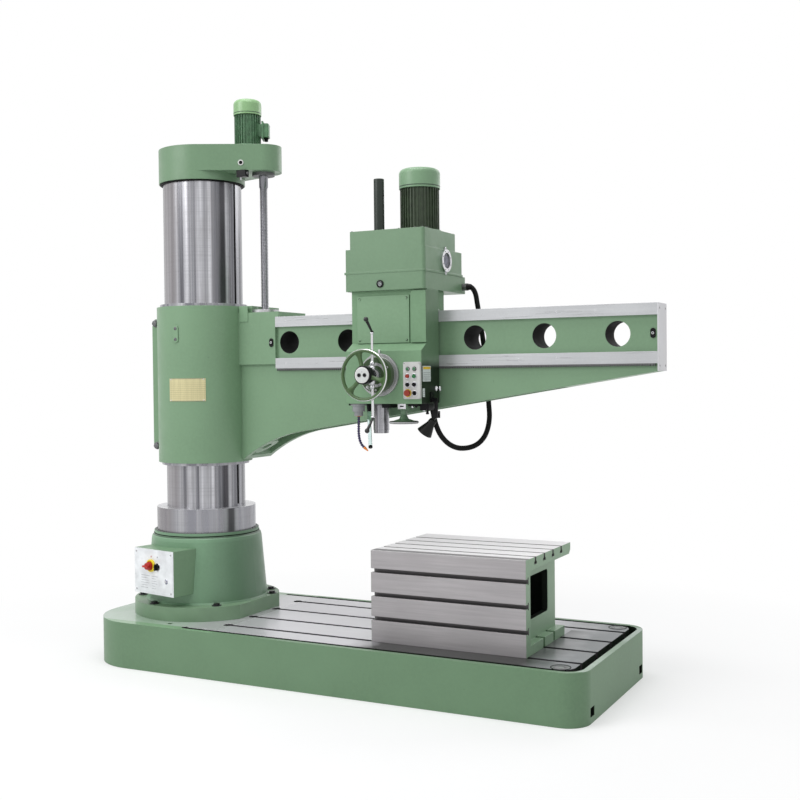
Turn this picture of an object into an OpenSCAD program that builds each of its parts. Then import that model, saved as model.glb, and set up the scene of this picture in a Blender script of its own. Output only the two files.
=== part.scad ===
// Radial arm drill: a round column that turns on a pedestal, an arm that climbs the column
// on a screw, and a drill head that runs along the arm. All lengths are in millimetres.
// X runs along the arm, Y to the back and Z up. The origin is on the column axis at the floor.

/* [Base] */
// Distance from the column axis to the column end of the base
base_left = 460; // [440:1:600]
// Distance from the column axis to the far end of the base
base_right = 2360; // [2300:1:2800]
// Width of the base
base_w = 1050; // [1000:1:1200]
// Height of the base
base_h = 240; // [210:1:300]
// Corner radius at the column end
base_round_left = 300; // [150:1:340]
// Corner radius at the far end
base_round_right = 110; // [95:1:150]
// Thickness of the rim outside the coolant moat
rim_w = 28; // [20:1:40]
// Width of the coolant moat along the sides
moat_w = 26; // [18:1:40]
// Width of the coolant moat at the far end
moat_end_w = 40; // [25:1:60]
// Depth of the coolant moat
moat_depth = 60; // [30:1:80]
// Distance from the column axis to the start of the moat
moat_start = 210; // [150:1:600]
// Distance between the T-slots of the base
slot_pitch = 224; // [180:1:240]
// Width of a base T-slot at its mouth
slot_w = 28; // [18:1:36]
// Distance from the column axis to the start of the T-slots
slot_start = 380; // [376:1:600]

/* [Box table] */
// Length of the box table
table_l = 800; // [700:1:1000]
// Depth of the box table's top
table_d = 620; // [560:1:800]
// Height of the box table
table_h = 445; // [400:1:550]
// Distance from the column axis to the near end of the box table
table_x = 1238; // [1000:1:1350]
// Distance from the column axis plane to the front of the box table
table_front = 350; // [300:1:400]
// Thickness of the slotted plates
table_plate = 55; // [46:1:70]
// Thickness of the walls
table_wall = 30; // [20:1:40]
// Width of a table T-slot at its mouth
table_slot_w = 20; // [14:1:22]

/* [Column] */
// Outside diameter of the turning column
column_d = 430; // [400:1:460]
// Wall thickness of the turning column
column_wall = 20; // [15:1:25]
// Height of the top of the turning column
column_top = 2700; // [2680:1:3000]
// Radial room for the column bearings
bearing_gap = 20; // [16:1:24]
// Height of the top of the pedestal
pedestal_top = 690; // [640:1:720]
// Thickness of the pedestal flange
flange_t = 75; // [50:1:90]
// Radius of the pedestal flange
flange_r = 398; // [390:1:400]
// Distance from the column axis to the straight side of the pedestal flange
flange_cut = 350; // [345:1:380]
// Height of the clamp ring
ring_h = 128; // [100:1:130]
// Radial thickness of the clamp ring outside the column
ring_wall = 56; // [40:1:70]

/* [Arm] */
// Height of the top of the sleeve
sleeve_top = 1915; // [1900:1:1950]
// Height of the bottom of the sleeve
sleeve_bottom = 1065; // [1045:1:1090]
// Wall thickness of the sleeve
sleeve_wall = 43; // [35:1:50]
// Distance of the guideway faces in front of the column axis
guide_front = 33; // [20:1:45]
// Height that the guideways stand proud of the arm
guide_t = 18; // [12:1:22]
// Height of a guideway face
guide_h = 55; // [45:1:70]
// Height of the top of the upper guideway
guide_top = 1850; // [1840:1:1860]
// Distance between the tops of the two guideways
guide_gap = 222; // [200:1:240]
// Distance from the column axis to the tip of the arm
arm_end = 2562; // [2540:1:2800]
// Thickness of the arm at its tip
arm_tip_t = 146; // [120:1:180]
// Height of the underside at the tip of the arm
arm_tip_z = 1538; // [1500:1:1550]
// Diameter of the lightening holes
light_d = 120; // [90:1:130]
// Distance between the lightening holes
light_pitch = 360; // [340:1:380]
// Distance from the column axis to the first lightening hole
light_x = 572; // [560:1:600]

/* [Lift] */
// Distance of the lift screw from the column axis, along the arm
screw_x = 375; // [365:1:385]
// Distance of the lift screw behind the column axis
screw_y = 50; // [45:1:60]
// Diameter of the lift screw
screw_d = 42; // [36:1:44]
// Height of the lower end of the lift screw
screw_bottom = 1190; // [1170:1:1230]
// Height of the cap over the column
cap_h = 140; // [120:1:160]
// Radius of the lift motor's cooling fins
lift_motor_r = 72; // [66:1:76]

/* [Head] */
// Distance of the spindle from the column axis, along the arm
spindle_x = 1170; // [1000:1:1300]
// Distance of the spindle in front of the column axis
spindle_front = 100; // [96:1:104]
// Width of the head casting
head_w = 420; // [400:1:460]
// Distance from the spindle to the column side of the head casting
head_left = 126; // [115:1:140]
// Distance of the head's upper front face in front of the column axis
head_front = 165; // [160:1:180]
// Distance of the head's lower front face in front of the column axis
nose_front = 232; // [215:1:250]
// Height of the bottom of the head casting
head_bottom = 1390; // [1360:1:1410]
// Height of the bottom of the gearbox
gearbox_z = 1951; // [1940:1:1960]
// Height of the gearbox case
case_h = 86; // [82:1:92]
// Height of the middle part of the gearbox cover
cover_mid_h = 123; // [118:1:140]
// Height of the top part of the gearbox cover
cover_top_h = 90; // [70:1:110]
// Depth of the gearbox case
case_d = 496; // [480:1:520]
// Distance of the gearbox front in front of the column axis
case_front = 190; // [188:1:205]
// Radius of the head motor's cooling fins
head_motor_r = 100; // [90:1:105]

/* [Spindle and feed] */
// Diameter of the quill
quill_d = 80; // [79:0.5:84]
// Height of the lower end of the quill
quill_bottom = 1254; // [1240:1:1270]
// Height of the upper end of the quill
quill_top = 1862; // [1860:1:1866]
// Diameter of the spindle in its bearings
spindle_d = 52; // [50:0.5:53]
// Module of the feed rack and pinion
feed_module = 3; // [3:0.5:3]
// Teeth of the feed pinion
feed_teeth = 20; // [18:1:24]
// Module of the traverse rack and pinion
traverse_module = 4; // [3:0.5:4.5]
// Teeth of the traverse pinion
traverse_teeth = 16; // [15:1:18]
// Radius of the traverse wheel
wheel_r = 127; // [110:1:140]
// Reach of the feed levers from the shaft
lever_reach = 209; // [180:1:230]
// Radius of the feed dial
dial_r = 105; // [90:1:115]

/* [Hidden] */
// Running clearance between a shaft and its bore, on the radius
run = 0.05;
// Gap between pieces that slide past each other
slip = 0.3;
$fn = 64;

green = [0.48, 0.61, 0.49];
dark_green = [0.36, 0.52, 0.40];
light_green = [0.55, 0.75, 0.48];
steel = [0.72, 0.73, 0.74];
iron = [0.66, 0.64, 0.64];
chrome = [0.85, 0.86, 0.88];
black = [0.08, 0.08, 0.09];
white = [0.92, 0.93, 0.93];
red = [0.75, 0.10, 0.08];

// Base
plate_right = base_right - rim_w - moat_end_w;
plate_half = base_w / 2 - rim_w - moat_w;
slot_depth = 48;
slot_head_w = slot_w + 20;
slot_head_h = 18;
rib_wall = 34;
rib_rows = 3;
rib_cols = 9;
rib_pitch_x = (base_right - 90) / (rib_cols - 1);
rib_start = -rib_pitch_x;
rib_pitch_y = (base_w - 100) / rib_rows;
rib_depth = 120;
anchor_left_x = 80;
anchor_right_x = base_right - 130;
anchor_left_y = base_w / 2 - 91;
anchor_hole_r = 14;
anchor_cap_r = 42;
anchor_cap_t = 8;
lift_hole_w = 56;
lift_hole_h = 42;
lift_hole_z = 50;
lift_hole_y = 392;

// Box table
table_end = table_x + table_l;
table_z = base_h + table_h;
table_back = table_d - table_front;
table_floor = 46;
table_body_back = 150;
table_flange_back = 174;
table_recess = 40;
table_slots_front = 3;
table_slots_top = 4;
table_slot_depth = 34;
table_slot_head_w = table_slot_w + 14;
table_slot_head_h = 13;
window_y0 = -205;
window_y1 = 45;
window_z0 = base_h + 142;
window_z1 = base_h + table_h - 99;
window_r = 18;
notch_w = 24;
notch_l = 62;
notch_y = [-116, 24];

// Column
col_r = column_d / 2;
col_in = col_r - column_wall;
inner_r = col_in - bearing_gap;
inner_wall = 25;
ring_r = col_r + ring_wall;
ring_top = pedestal_top + ring_h;
flange_top = base_h + flange_t;
cone_r_low = ring_r + 57;
cone_r_high = ring_r + 32;
shoulder_z = pedestal_top - 22;
lip_r = ring_r + 17;
pedestal_wall = 45;
bolt_pcd_r = flange_r - 37;
sump_r = 18;
sump_depth = 80;
term_turn = 20;
term_w = 80;
term_h = 96;
term_z = 46;
bolt_angles = [26, 47, 105, 152, 208, 255, 314];
bolt_r = 12;
bolt_head_r = 18;
bolt_head_h = 13;
thrust_h = 30;
upper_bearing_z = column_top - 220;
upper_bearing_h = 40;
inner_top = column_top - 140;
key_w = 16;
key_depth = 8;
skirt_z = column_top - 105;
cap_z = column_top - 60;
cap_top = cap_z + cap_h;

// Arm
sleeve_r = col_r + sleeve_wall;
guide_y = -guide_front;
web_y = guide_y + guide_t;
guide_low_top = guide_top - guide_gap;
guide_low_z = guide_low_top - guide_h;
guide_start = 493;
tip_back = guide_y + arm_tip_t;
root_back = sleeve_r - 8;
boss_top = guide_top + 28;
boss_end = screw_x + 140;
boss_low_z = guide_low_z + 22;
crest_end = screw_x - 42;
sweep_x = 640;
sweep_r = 841;
belly_z = 1236;
arm_slope = (arm_tip_z - belly_z) / (arm_end - sweep_x);
sweep_z = belly_z;
// Length of a cutter that passes right through the arm or the head
through = 1200;
sweep_a = atan(arm_slope);
sweep_cx = sweep_x + sweep_r * sin(sweep_a);
sweep_cz = sweep_z - sweep_r * cos(sweep_a);
light_z = guide_low_top + (guide_top - guide_h - guide_low_top) / 2;
light_count = 6;
root_x = sweep_x - 300;
arm_floor = 900;
arm_wall = 34;
pocket_top = guide_low_z - 30;
pocket_x0 = sleeve_r + 34;
pocket_x1 = 2100;
pocket_y = web_y + 30;
screw_boss_r = 63;
rib_x = sleeve_r + 14;
rib_y = 115;
rib_low = sleeve_bottom + 64;
rib_high = sleeve_top - 59;
rib_chamfer = 40;
clamp_hole_x = col_r + 32;
clamp_hole_z = [rib_low + 20, rib_high - 24];
clamp_hole_r = 12;
wiper_h = 15;
wiper_w = 25;
end_plate_t = 6;
stop_pin_r = 9;
plate_turn = -76;
plate_half_w = 104;

// Lift
screw_r = screw_d / 2;
screw_reach = norm([screw_x, screw_y]);
cap_turn = atan2(screw_y, screw_x);
cap_r = col_r + 21;
cap_tip_r = 100;
cap_wall = 15;
cap_plug_x = 310;
collar_z = column_top - 140;
journal_r = screw_r + 3;
screw_top = cap_z + 50;
bearing_r = 61;
bearing_h = 18;
nut_r = 45;
nut_flange_r = 76;
nut_flange_h = 16;
nut_low = boss_top - 98;
lift_motor_at = 286;
lift_motor_h = 177;
lift_cowl_h = 84;

// Head
head_x0 = spindle_x - head_left;
head_x1 = head_x0 + head_w;
spindle_y = -spindle_front;
head_back = guide_y - slip;
nose_z = 1650;
nose_slope_h = 40;
saddle_back = 80;
saddle_low = guide_top + slip;
saddle_inset = 24;
strip_x0 = head_x1 - 84;
strip_t = 14;
case_x0 = head_x0 - 26;
case_x1 = head_x1;
case_back = case_d - case_front;
case_top = gearbox_z + case_h;
case_wall = 10;
cover_mid_top = case_top + cover_mid_h;
cover_top = cover_mid_top + cover_top_h;
cover_mid_back = case_back - 42;
cover_top_back = case_back - 118;
cover_inset = 26;
cover_roof = 14;
ledge = 8;
ledge_h = 10;
edge_r = 16;
gear_m = 4;
pinion_z = 18;
mid_big_z = 38;
mid_small_z = 20;
drive_z = 36;
motor_centre = gear_m * (pinion_z + mid_big_z) / 2;
drive_centre = gear_m * (mid_small_z + drive_z) / 2;
mid_turn = 35;
motor_turn = 59;
mid_x = spindle_x + drive_centre * cos(mid_turn);
mid_y = spindle_y + drive_centre * sin(mid_turn);
motor_x = mid_x + motor_centre * cos(motor_turn);
motor_y = mid_y + motor_centre * sin(motor_turn);
gear_w = 25;
low_gear_z = gearbox_z + 39;
high_gear_z = case_top + 13;
mid_shaft_r = 14;
mid_boss_r = 24;
mid_low = gearbox_z + case_wall;
mid_high = high_gear_z + gear_w + 22;
head_motor_h = 225;
head_cowl_h = 101;
sight_r = 56;
sight_y = 48;
sight_z = case_top + cover_mid_h / 2 + 5;
guard_r = 26.5;
guard_wall = 4;
guard_top = cover_top + 265;
spline_r = 16;
spline_top = cover_top + 150;

// Spindle and feed
quill_r = quill_d / 2;
bore_r = spindle_d / 2;
feed_r = feed_module * feed_teeth / 2;
rack_depth = 4;
dial_x = spindle_x + quill_r - rack_depth + feed_r;
feed_up = 90;
feed_down = 310;
traverse_r = traverse_module * traverse_teeth / 2;
rack_back = 4;
rack_top = guide_low_z;
rack_line = rack_top - rack_back - 1.25 * traverse_module;
dial_z = rack_line - traverse_r;
feed_shaft_r = 22;
traverse_shaft_r = 14;
dial_front = nose_front + slip;
dial_t = 45;
lever_hub_t = 50;
lever_y = -(dial_front + dial_t + 32);
lever_r = 7;
lever_tip = 84;
lever_bend = 45;
grip_r = 12;
wheel_y = -394;
wheel_rim = 9;
wheel_hub_r = 34;
hub_face_y = wheel_y - 22;
button_r = 7;
button_gap = 15;
nose_r = 38;
nose_h = 15;
taper_r = 22.2;
taper_l = 129.5;
taper_slope = 0.0263;
fine_x = spindle_x + 154;
fine_y = -150;
fine_r = 74;
fine_z = head_bottom - 100;

// Panel
panel_x0 = head_x1 - 91;
panel_x1 = head_x1 - 1;
panel_z0 = head_bottom + 24;
panel_z1 = head_bottom + 204;
panel_t = 18;
panel_front = nose_front + panel_t;
panel_col = [panel_x0 + 25, panel_x0 + 61];
panel_row = [panel_z1 - 34, panel_z1 - 69, panel_z1 - 110, panel_z1 - 151];
push_r = 9;
push_travel = 4;

// Switch box on the pedestal
box_turn = -12;
box_w = 320;
box_h = 240;
box_depth = 230;
box_at = [-56, -394, 495];
box_plate_w = 303;
box_plate_h = 222;
box_plate_t = 3;
main_at = [-18, 33];
pump_at = [31, 29];

// Route of the conduit loop from the gearbox's side round behind the arm and back under it
conduit_d = 27;
conduit_route = [
  [1486, 268, 1985], [1506, 268, 1985], [1525, 267, 1968], [1538, 264, 1940], [1548, 259, 1895],
  [1560, 254, 1840], [1574, 250, 1760], [1587, 250, 1670], [1598, 250, 1570], [1605, 250, 1480],
  [1610, 250, 1391], [1615, 248, 1313], [1610, 236, 1252], [1597, 212, 1205], [1574, 176, 1172],
  [1543, 130, 1157], [1511, 76, 1160], [1486, 22, 1184], [1467, -24, 1226], [1453, -50, 1278],
  [1443, -60, 1336], [1443, -60, 1366]
];
gland_r = 18;
conduit_sides = 10;

// Route of the jointed coolant hose under the head
hose_at = [spindle_x - 80, -190];
hose_block_r = [40, 31, 22];
hose_block_h = [10, 30, 22];
hose_top = head_bottom - 62;
hose_link = 12;
hose_link_r = 7;
hose_turns = [0, 0, 2, 2, 0, -2, -4, -6, -8, -12, -16, -20, -24, -26];
lamp_at = [head_x1 + 24, -122, head_bottom - 62];
lamp_tilt = 38;

// Outline of a plate with its own corner radius at each end
module end_rounded(x0, x1, half, r0, r1) {
  translate([x0 + r0, -half]) square([x1 - x0 - r0 - r1, 2 * half]);
  translate([x0, -half + r0]) square([r0, 2 * (half - r0)]);
  translate([x1 - r1, -half + r1]) square([r1, 2 * (half - r1)]);
  for (s = [-1, 1]) {
    translate([x0 + r0, s * (half - r0)]) circle(r = r0);
    translate([x1 - r1, s * (half - r1)]) circle(r = r1);
  }
}

// Upright block with rounded corners between two opposite points
module block(a, b, r) {
  translate([0, 0, a[2]]) linear_extrude(b[2] - a[2]) {
    translate([a[0] + r, a[1]]) square([b[0] - a[0] - 2 * r, b[1] - a[1]]);
    translate([a[0], a[1] + r]) square([b[0] - a[0], b[1] - a[1] - 2 * r]);
    for (x = [a[0] + r, b[0] - r], y = [a[1] + r, b[1] - r]) translate([x, y]) circle(r = r);
  }
}

// Plain box between two opposite points
module bar(a, b) {
  translate(a) cube([b[0] - a[0], b[1] - a[1], b[2] - a[2]]);
}

module tube(r, hole, h) {
  difference() {
    cylinder(r = r, h = h);
    translate([0, 0, -1]) cylinder(r = hole, h = h + 2);
  }
}

// Flat rectangle between two opposite corners
module square_from(a, b) {
  translate(a) square([b[0] - a[0], b[1] - a[1]]);
}

// Round stub pointing to the front, from y down to y - h
module front_rod(x, y, z, r, h) {
  translate([x, y, z]) rotate([90, 0, 0]) cylinder(r = r, h = h);
}

// T-slot along X, cut down from height z
module t_slot(x0, x1, y, z, mouth, head, head_h, depth) {
  bar([x0, y - mouth / 2, z - depth + 1], [x1, y + mouth / 2, z + 1]);
  bar([x0, y - head / 2, z - depth], [x1, y + head / 2, z - depth + head_h]);
}

function polar(r, a) = [r * cos(a), r * sin(a)];

// Points of a spur gear with straight flanks, one tooth centred on the X axis
function gear_points(m, n) =
  let (half = PI * m / 4 * 0.82, up = 0.9 * m, down = 1.25 * m, pitch = m * n / 2,
       tip = half - up * tan(20), root = half + down * tan(20),
       ta = tip / (pitch + up) * 180 / PI, ra = root / (pitch - down) * 180 / PI)
  [for (i = [0:n - 1], k = [[pitch - down, -ra], [pitch + up, -ta], [pitch + up, ta], [pitch - down, ra]])
    polar(k[0], i * 360 / n + k[1])];

module gear(m, n, w, turn) {
  rotate([0, 0, turn]) linear_extrude(w) polygon(gear_points(m, n));
}

// Outline of the gaps of a straight rack: teeth along X, gap floor at y = -down, open at y = up
function rack_points(m, n0, n1, back) =
  let (p = PI * m, half = PI * m / 4 * 1.18, up = 0.9 * m, down = 1.25 * m,
       mouth = half + up * tan(20), floor = half - down * tan(20))
  concat(
    [for (i = [n0:n1], k = [[-mouth, up], [-floor, -down], [floor, -down], [mouth, up]]) [i * p + k[0], k[1]]],
    [[n1 * p + p / 2, up], [n1 * p + p / 2, -back], [n0 * p - p / 2, -back], [n0 * p - p / 2, up]]);

// Column cap outline: the column's circle joined to a smaller one over the screw
module cap_outline(r0, r1, reach) {
  c = (r0 - r1) / reach;
  s = sqrt(1 - c * c);
  circle(r = r0);
  translate([reach, 0]) circle(r = r1);
  polygon([[r0 * c, r0 * s], [r0 * c, -r0 * s], [reach + r1 * c, -r1 * s], [reach + r1 * c, r1 * s]]);
}

module finned_motor(r, h, fins) {
  flange_h = 14;
  translate([0, 0, flange_h]) linear_extrude(h - flange_h) {
    circle(r = r - 9);
    for (i = [0:fins - 1]) rotate(i * 360 / fins) translate([r - 20, -1.5]) square([20, 3]);
  }
  cylinder(r = r + 8, h = flange_h);
}

// Fan behind a motor's rotor
module fan(r, shaft, blades, h) {
  linear_extrude(h) {
    circle(r = shaft + 8);
    for (i = [0:blades - 1]) rotate(i * 360 / blades) translate([0, -1.5]) square([r, 3]);
  }
}

// Hollow dome over a motor's fan
module motor_cowl(r, h, wall) {
  rotate_extrude() difference() {
    union() {
      square([r, h - 26]);
      square([r - 26, h]);
      translate([r - 26, h - 26]) circle(r = 26);
    }
    translate([0, -1]) square([r - wall, h - 25 - wall]);
    square([r - 26 - wall, h - wall]);
    translate([r - 26 - wall, h - 26 - wall]) circle(r = 26);
    translate([-r, -1]) square([r, h + 2]);
  }
}

module base_casting() {
  half = base_w / 2;
  color(green) difference() {
    linear_extrude(base_h) end_rounded(-base_left, base_right, half, base_round_left, base_round_right);
    // Coolant moat between the rim and the slotted plate
    translate([0, 0, base_h - moat_depth]) linear_extrude(moat_depth + 1) intersection() {
      translate([moat_start, -base_w]) square([base_right, 2 * base_w]);
      difference() {
        end_rounded(-base_left, base_right - rim_w, half - rim_w, 20, base_round_right - rim_w);
        end_rounded(-base_left, plate_right, plate_half, 20, 60);
      }
    }
    for (i = [0:3]) {
      y = (i - 1.5) * slot_pitch;
      t_slot(slot_start, plate_right + 10, y, base_h, slot_w, slot_head_w, slot_head_h, slot_depth);
      translate([slot_start, y, base_h - slot_depth]) cylinder(r = slot_head_w / 2 + 1, h = slot_depth + 1);
    }
    // Ribbed underside
    difference() {
      for (i = [0:rib_cols - 1], j = [0:rib_rows - 1]) {
        x = rib_start + i * rib_pitch_x;
        y = (j - rib_rows / 2) * rib_pitch_y;
        bar([x + rib_wall / 2, y + rib_wall / 2, -1],
          [x + rib_pitch_x - rib_wall / 2, y + rib_pitch_y - rib_wall / 2, rib_depth]);
      }
      for (x = [anchor_left_x, anchor_right_x], s = [-1, 1])
        translate([x, s * anchor_left_y, -2]) cylinder(r = anchor_hole_r + 26, h = rib_depth + 4);
    }
    for (x = [anchor_left_x, anchor_right_x], s = [-1, 1])
      translate([x, s * anchor_left_y, -1]) cylinder(r = anchor_hole_r, h = base_h + 2);
    for (s = [-1, 1]) {
      translate([anchor_right_x, s * anchor_left_y, base_h - anchor_cap_t - 1])
        cylinder(r = anchor_cap_r + slip, h = anchor_cap_t + 2);
      // Holes for lifting bars in the far end
      bar([base_right - 95, s * lift_hole_y - lift_hole_w / 2, lift_hole_z - lift_hole_h / 2],
        [base_right + 1, s * lift_hole_y + lift_hole_w / 2, lift_hole_z + lift_hole_h / 2]);
    }
    // Coolant sump at the front end of the moat
    translate([moat_start, -(half - rim_w - sump_r - 2), base_h - sump_depth]) cylinder(r = sump_r, h = sump_depth + 1);
  }
}

module base_fasteners() {
  color(steel) for (s = [-1, 1])
    translate([anchor_right_x, s * anchor_left_y, base_h - anchor_cap_t - 1])
      cylinder(r = anchor_cap_r, h = anchor_cap_t);
  color(black) for (a = bolt_angles)
    translate([bolt_pcd_r * cos(a), bolt_pcd_r * sin(a), flange_top]) {
      cylinder(r = bolt_head_r, h = bolt_head_h, $fn = 6);
      translate([0, 0, -flange_t]) cylinder(r = bolt_r, h = flange_t);
    }
}

module box_table() {
  front = -table_front;
  color(iron) difference() {
    union() {
      bar([table_x, front, base_h], [table_end, front + table_plate, table_z]);
      bar([table_x, front, table_z - table_plate], [table_end, table_back, table_z]);
      bar([table_x, front, base_h], [table_end, table_flange_back, base_h + table_floor]);
      bar([table_x + table_recess, front, base_h], [table_end - table_recess, table_body_back, table_z - 1]);
    }
    // Hollow between the plates and walls, open through the end windows
    bar([table_x + table_recess + table_wall, front + table_plate, base_h + table_floor],
      [table_end - table_recess - table_wall, table_body_back - table_wall, table_z - table_plate]);
    translate([table_x, 0, 0]) rotate([90, 0, 90]) linear_extrude(table_l) {
      translate([window_y0 + window_r, window_z0])
        square([window_y1 - window_y0 - 2 * window_r, window_z1 - window_z0]);
      translate([window_y0, window_z0 + window_r])
        square([window_y1 - window_y0, window_z1 - window_z0 - 2 * window_r]);
      for (y = [window_y0 + window_r, window_y1 - window_r], z = [window_z0 + window_r, window_z1 - window_r])
        translate([y, z]) circle(r = window_r);
    }
    for (i = [0:table_slots_top - 1])
      t_slot(table_x - 1, table_end + 1, front + 126 + i * 119, table_z,
        table_slot_w, table_slot_head_w, table_slot_head_h, table_slot_depth);
    for (i = [0:table_slots_front - 1])
      translate([0, front, base_h + 115 + i * 116]) rotate([90, 0, 0])
        t_slot(table_x - 1, table_end + 1, 0, 0,
          table_slot_w, table_slot_head_w, table_slot_head_h, table_slot_depth);
    // Bolt notches in the foot at both ends
    for (y = notch_y, x = [table_x - 1, table_end + 1 - notch_l]) {
      s = x < table_x ? 1 : -1;
      c = s > 0 ? table_x + notch_l - notch_w / 2 : table_end - notch_l + notch_w / 2;
      translate([c, y, base_h - 1]) cylinder(r = notch_w / 2, h = table_floor + 2);
      bar([min(c, c - s * notch_l), y - notch_w / 2, base_h - 1],
        [max(c, c - s * notch_l), y + notch_w / 2, base_h + table_floor + 1]);
    }
    // Rounded lower back corner of the top
    translate([table_x - 1, table_back, table_z - table_plate]) rotate([45, 0, 0])
      translate([0, -14, -14]) cube([table_l + 2, 28, 28]);
  }
}

// Outside of the pedestal, which the switch box is shaped to
module pedestal_shell() {
  rotate_extrude() polygon([
    [0, flange_top - 1], [cone_r_low + 10, flange_top - 1], [cone_r_low + 2, flange_top + 10],
    [cone_r_high, shoulder_z - 24], [cone_r_high - 4, shoulder_z - 8], [lip_r + 2, shoulder_z],
    [lip_r, shoulder_z + 3], [lip_r, pedestal_top], [0, pedestal_top]]);
}

module pedestal() {
  color(dark_green) difference() {
    union() {
      pedestal_shell();
      translate([0, 0, base_h]) linear_extrude(flange_t) intersection() {
        circle(r = flange_r);
        translate([-flange_r - 1, -flange_r - 1]) square([flange_r + 1 + flange_cut, 2 * flange_r + 2]);
      }
    }
    translate([0, 0, base_h - 1]) cylinder(r = inner_r + 0.2, h = pedestal_top);
    rotate_extrude() polygon([
      [0, base_h - 1], [cone_r_low - pedestal_wall, base_h - 1],
      [cone_r_high - pedestal_wall, shoulder_z - 60], [0, shoulder_z - 60]]);
    for (a = bolt_angles)
      translate([bolt_pcd_r * cos(a), bolt_pcd_r * sin(a), base_h - 1]) cylinder(r = bolt_r, h = flange_t + 2);
  }
}

module inner_column() {
  color(steel) difference() {
    union() {
      translate([0, 0, base_h]) cylinder(r = inner_r, h = inner_top - base_h);
      translate([0, 0, base_h]) cylinder(r = inner_r + 55, h = 34);
      translate([0, 0, upper_bearing_z - 20]) cylinder(r = inner_r + bearing_gap / 2, h = 20);
    }
    translate([0, 0, base_h - 1]) cylinder(r = inner_r - inner_wall, h = inner_top);
  }
}

module column_bearings() {
  color(chrome) {
    translate([0, 0, pedestal_top]) tube(col_r - 5, inner_r + 0.2, thrust_h);
    translate([0, 0, upper_bearing_z]) tube(col_in - slip, inner_r + 0.2, upper_bearing_h);
  }
}

// Places children in the frame of the switch box's front face, with Z towards the operator
module on_box() {
  translate(box_at) rotate([0, 0, box_turn]) rotate([90, 0, 0]) children();
}

module switch_box() {
  color(green) difference() {
    on_box() translate([-box_w / 2, -box_h / 2, -box_depth]) cube([box_w, box_h, box_depth]);
    pedestal_shell();
    // Inside of the box, behind the plate
    on_box() translate([-box_w / 2 + 12, -box_h / 2 + 12, -60]) cube([box_w - 24, box_h - 24, 61]);
  }
}

module switch_plate() {
  color(white) difference() {
    on_box() union() {
      translate([-box_w / 2, -box_h / 2, 0]) cube([box_w, box_h, 1.5]);
      translate([-box_plate_w / 2, -box_plate_h / 2, 0]) cube([box_plate_w, box_plate_h, box_plate_t]);
    }
    on_box() for (p = [main_at, pump_at]) translate([p[0], p[1], -2]) cylinder(r = 6 + run, h = 9);
  }
}

module knob(r, base_r, len) {
  cylinder(r = base_r, h = len * 0.62);
  translate([0, 0, len * 0.62]) cylinder(r = r, h = len * 0.38);
}

module main_switch() {
  color(red) on_box() translate([main_at[0], main_at[1], 0]) {
    translate([0, 0, -14]) cylinder(r = 6, h = 22);
    translate([0, 0, box_plate_t + slip]) knob(18, 22, 34);
    translate([-22, -5, box_plate_t + 30]) cube([44, 10, 14]);
  }
}

module pump_switch() {
  color(black) on_box() translate([pump_at[0], pump_at[1], 0]) {
    translate([0, 0, -14]) cylinder(r = 6, h = 22);
    translate([0, 0, box_plate_t + slip]) cylinder(r = 17, h = 11);
    translate([-5, -16, box_plate_t + 8]) cube([10, 32, 11]);
  }
}

module outer_column() {
  color(steel) difference() {
    translate([0, 0, pedestal_top + thrust_h + 10]) tube(col_r, col_in, column_top - pedestal_top - thrust_h - 10);
    // Keyway that keeps the sleeve from turning
    bar([col_r - key_depth, -key_w / 2, ring_top + 12], [col_r + 5, key_w / 2, skirt_z - 5]);
  }
}

module clamp_ring() {
  color(steel) difference() {
    translate([0, 0, pedestal_top + slip]) cylinder(r = ring_r, h = ring_h - slip);
    translate([0, 0, pedestal_top - 1]) cylinder(r = col_r - 5 + slip, h = thrust_h + 1 + slip);
    translate([0, 0, pedestal_top - 1]) cylinder(r = inner_r + 2, h = ring_h + 2);
    translate([0, 0, pedestal_top + thrust_h + 10]) cylinder(r = col_r, h = ring_h);
  }
}

module top_cap() {
  color(green) difference() {
    rotate([0, 0, cap_turn]) union() {
      translate([0, 0, cap_z]) linear_extrude(cap_h) cap_outline(cap_r, cap_tip_r, screw_reach);
      translate([0, 0, skirt_z]) cylinder(r = cap_r, h = cap_z - skirt_z + 1);
    }
    translate([0, 0, skirt_z - 1]) cylinder(r = col_r, h = column_top - skirt_z + 1);
    translate([0, 0, column_top - 1]) cylinder(r = col_in, h = cap_top - column_top - cap_wall);
    translate([screw_x, screw_y, cap_z - 1]) cylinder(r = journal_r + run, h = screw_top - cap_z + 3);
    // Room for the reduction drive, reached through the motor's opening
    rotate([0, 0, cap_turn]) translate([lift_motor_at, 0, cap_z + 56]) cylinder(r = 52, h = cap_h);
    // Plug of the oil filler
    rotate([0, 0, cap_turn]) translate([cap_plug_x, -cap_r, cap_z + cap_h / 2 - 30])
      rotate([-90, 0, 0]) cylinder(r = 9, h = 150);
  }
}

module at_lift_motor() {
  rotate([0, 0, cap_turn]) translate([lift_motor_at, 0, cap_top]) children();
}

module lift_motor() {
  color(dark_green) at_lift_motor() difference() {
    union() {
      finned_motor(lift_motor_r, lift_motor_h, 28);
      // Terminal box on a neck, turned away from the arm
      rotate([0, 0, term_turn]) {
        translate([lift_motor_r - 16, -term_w / 2 + 10, term_z + 14]) cube([28, term_w - 20, term_h - 28]);
        translate([lift_motor_r + 8, -term_w / 2, term_z]) cube([10, term_w, term_h]);
        translate([lift_motor_r + 17, -term_w / 2 + 7, term_z + 11]) cube([25, term_w - 14, term_h - 22]);
      }
    }
    translate([0, 0, 18]) cylinder(r = lift_motor_r - 26, h = lift_motor_h - 30);
    translate([0, 0, -1]) cylinder(r = 12 + run, h = lift_motor_h + 2);
  }
}

module lift_motor_cowl() {
  color(light_green) at_lift_motor() translate([0, 0, lift_motor_h]) motor_cowl(lift_motor_r + 4, lift_cowl_h, 4);
}

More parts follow.
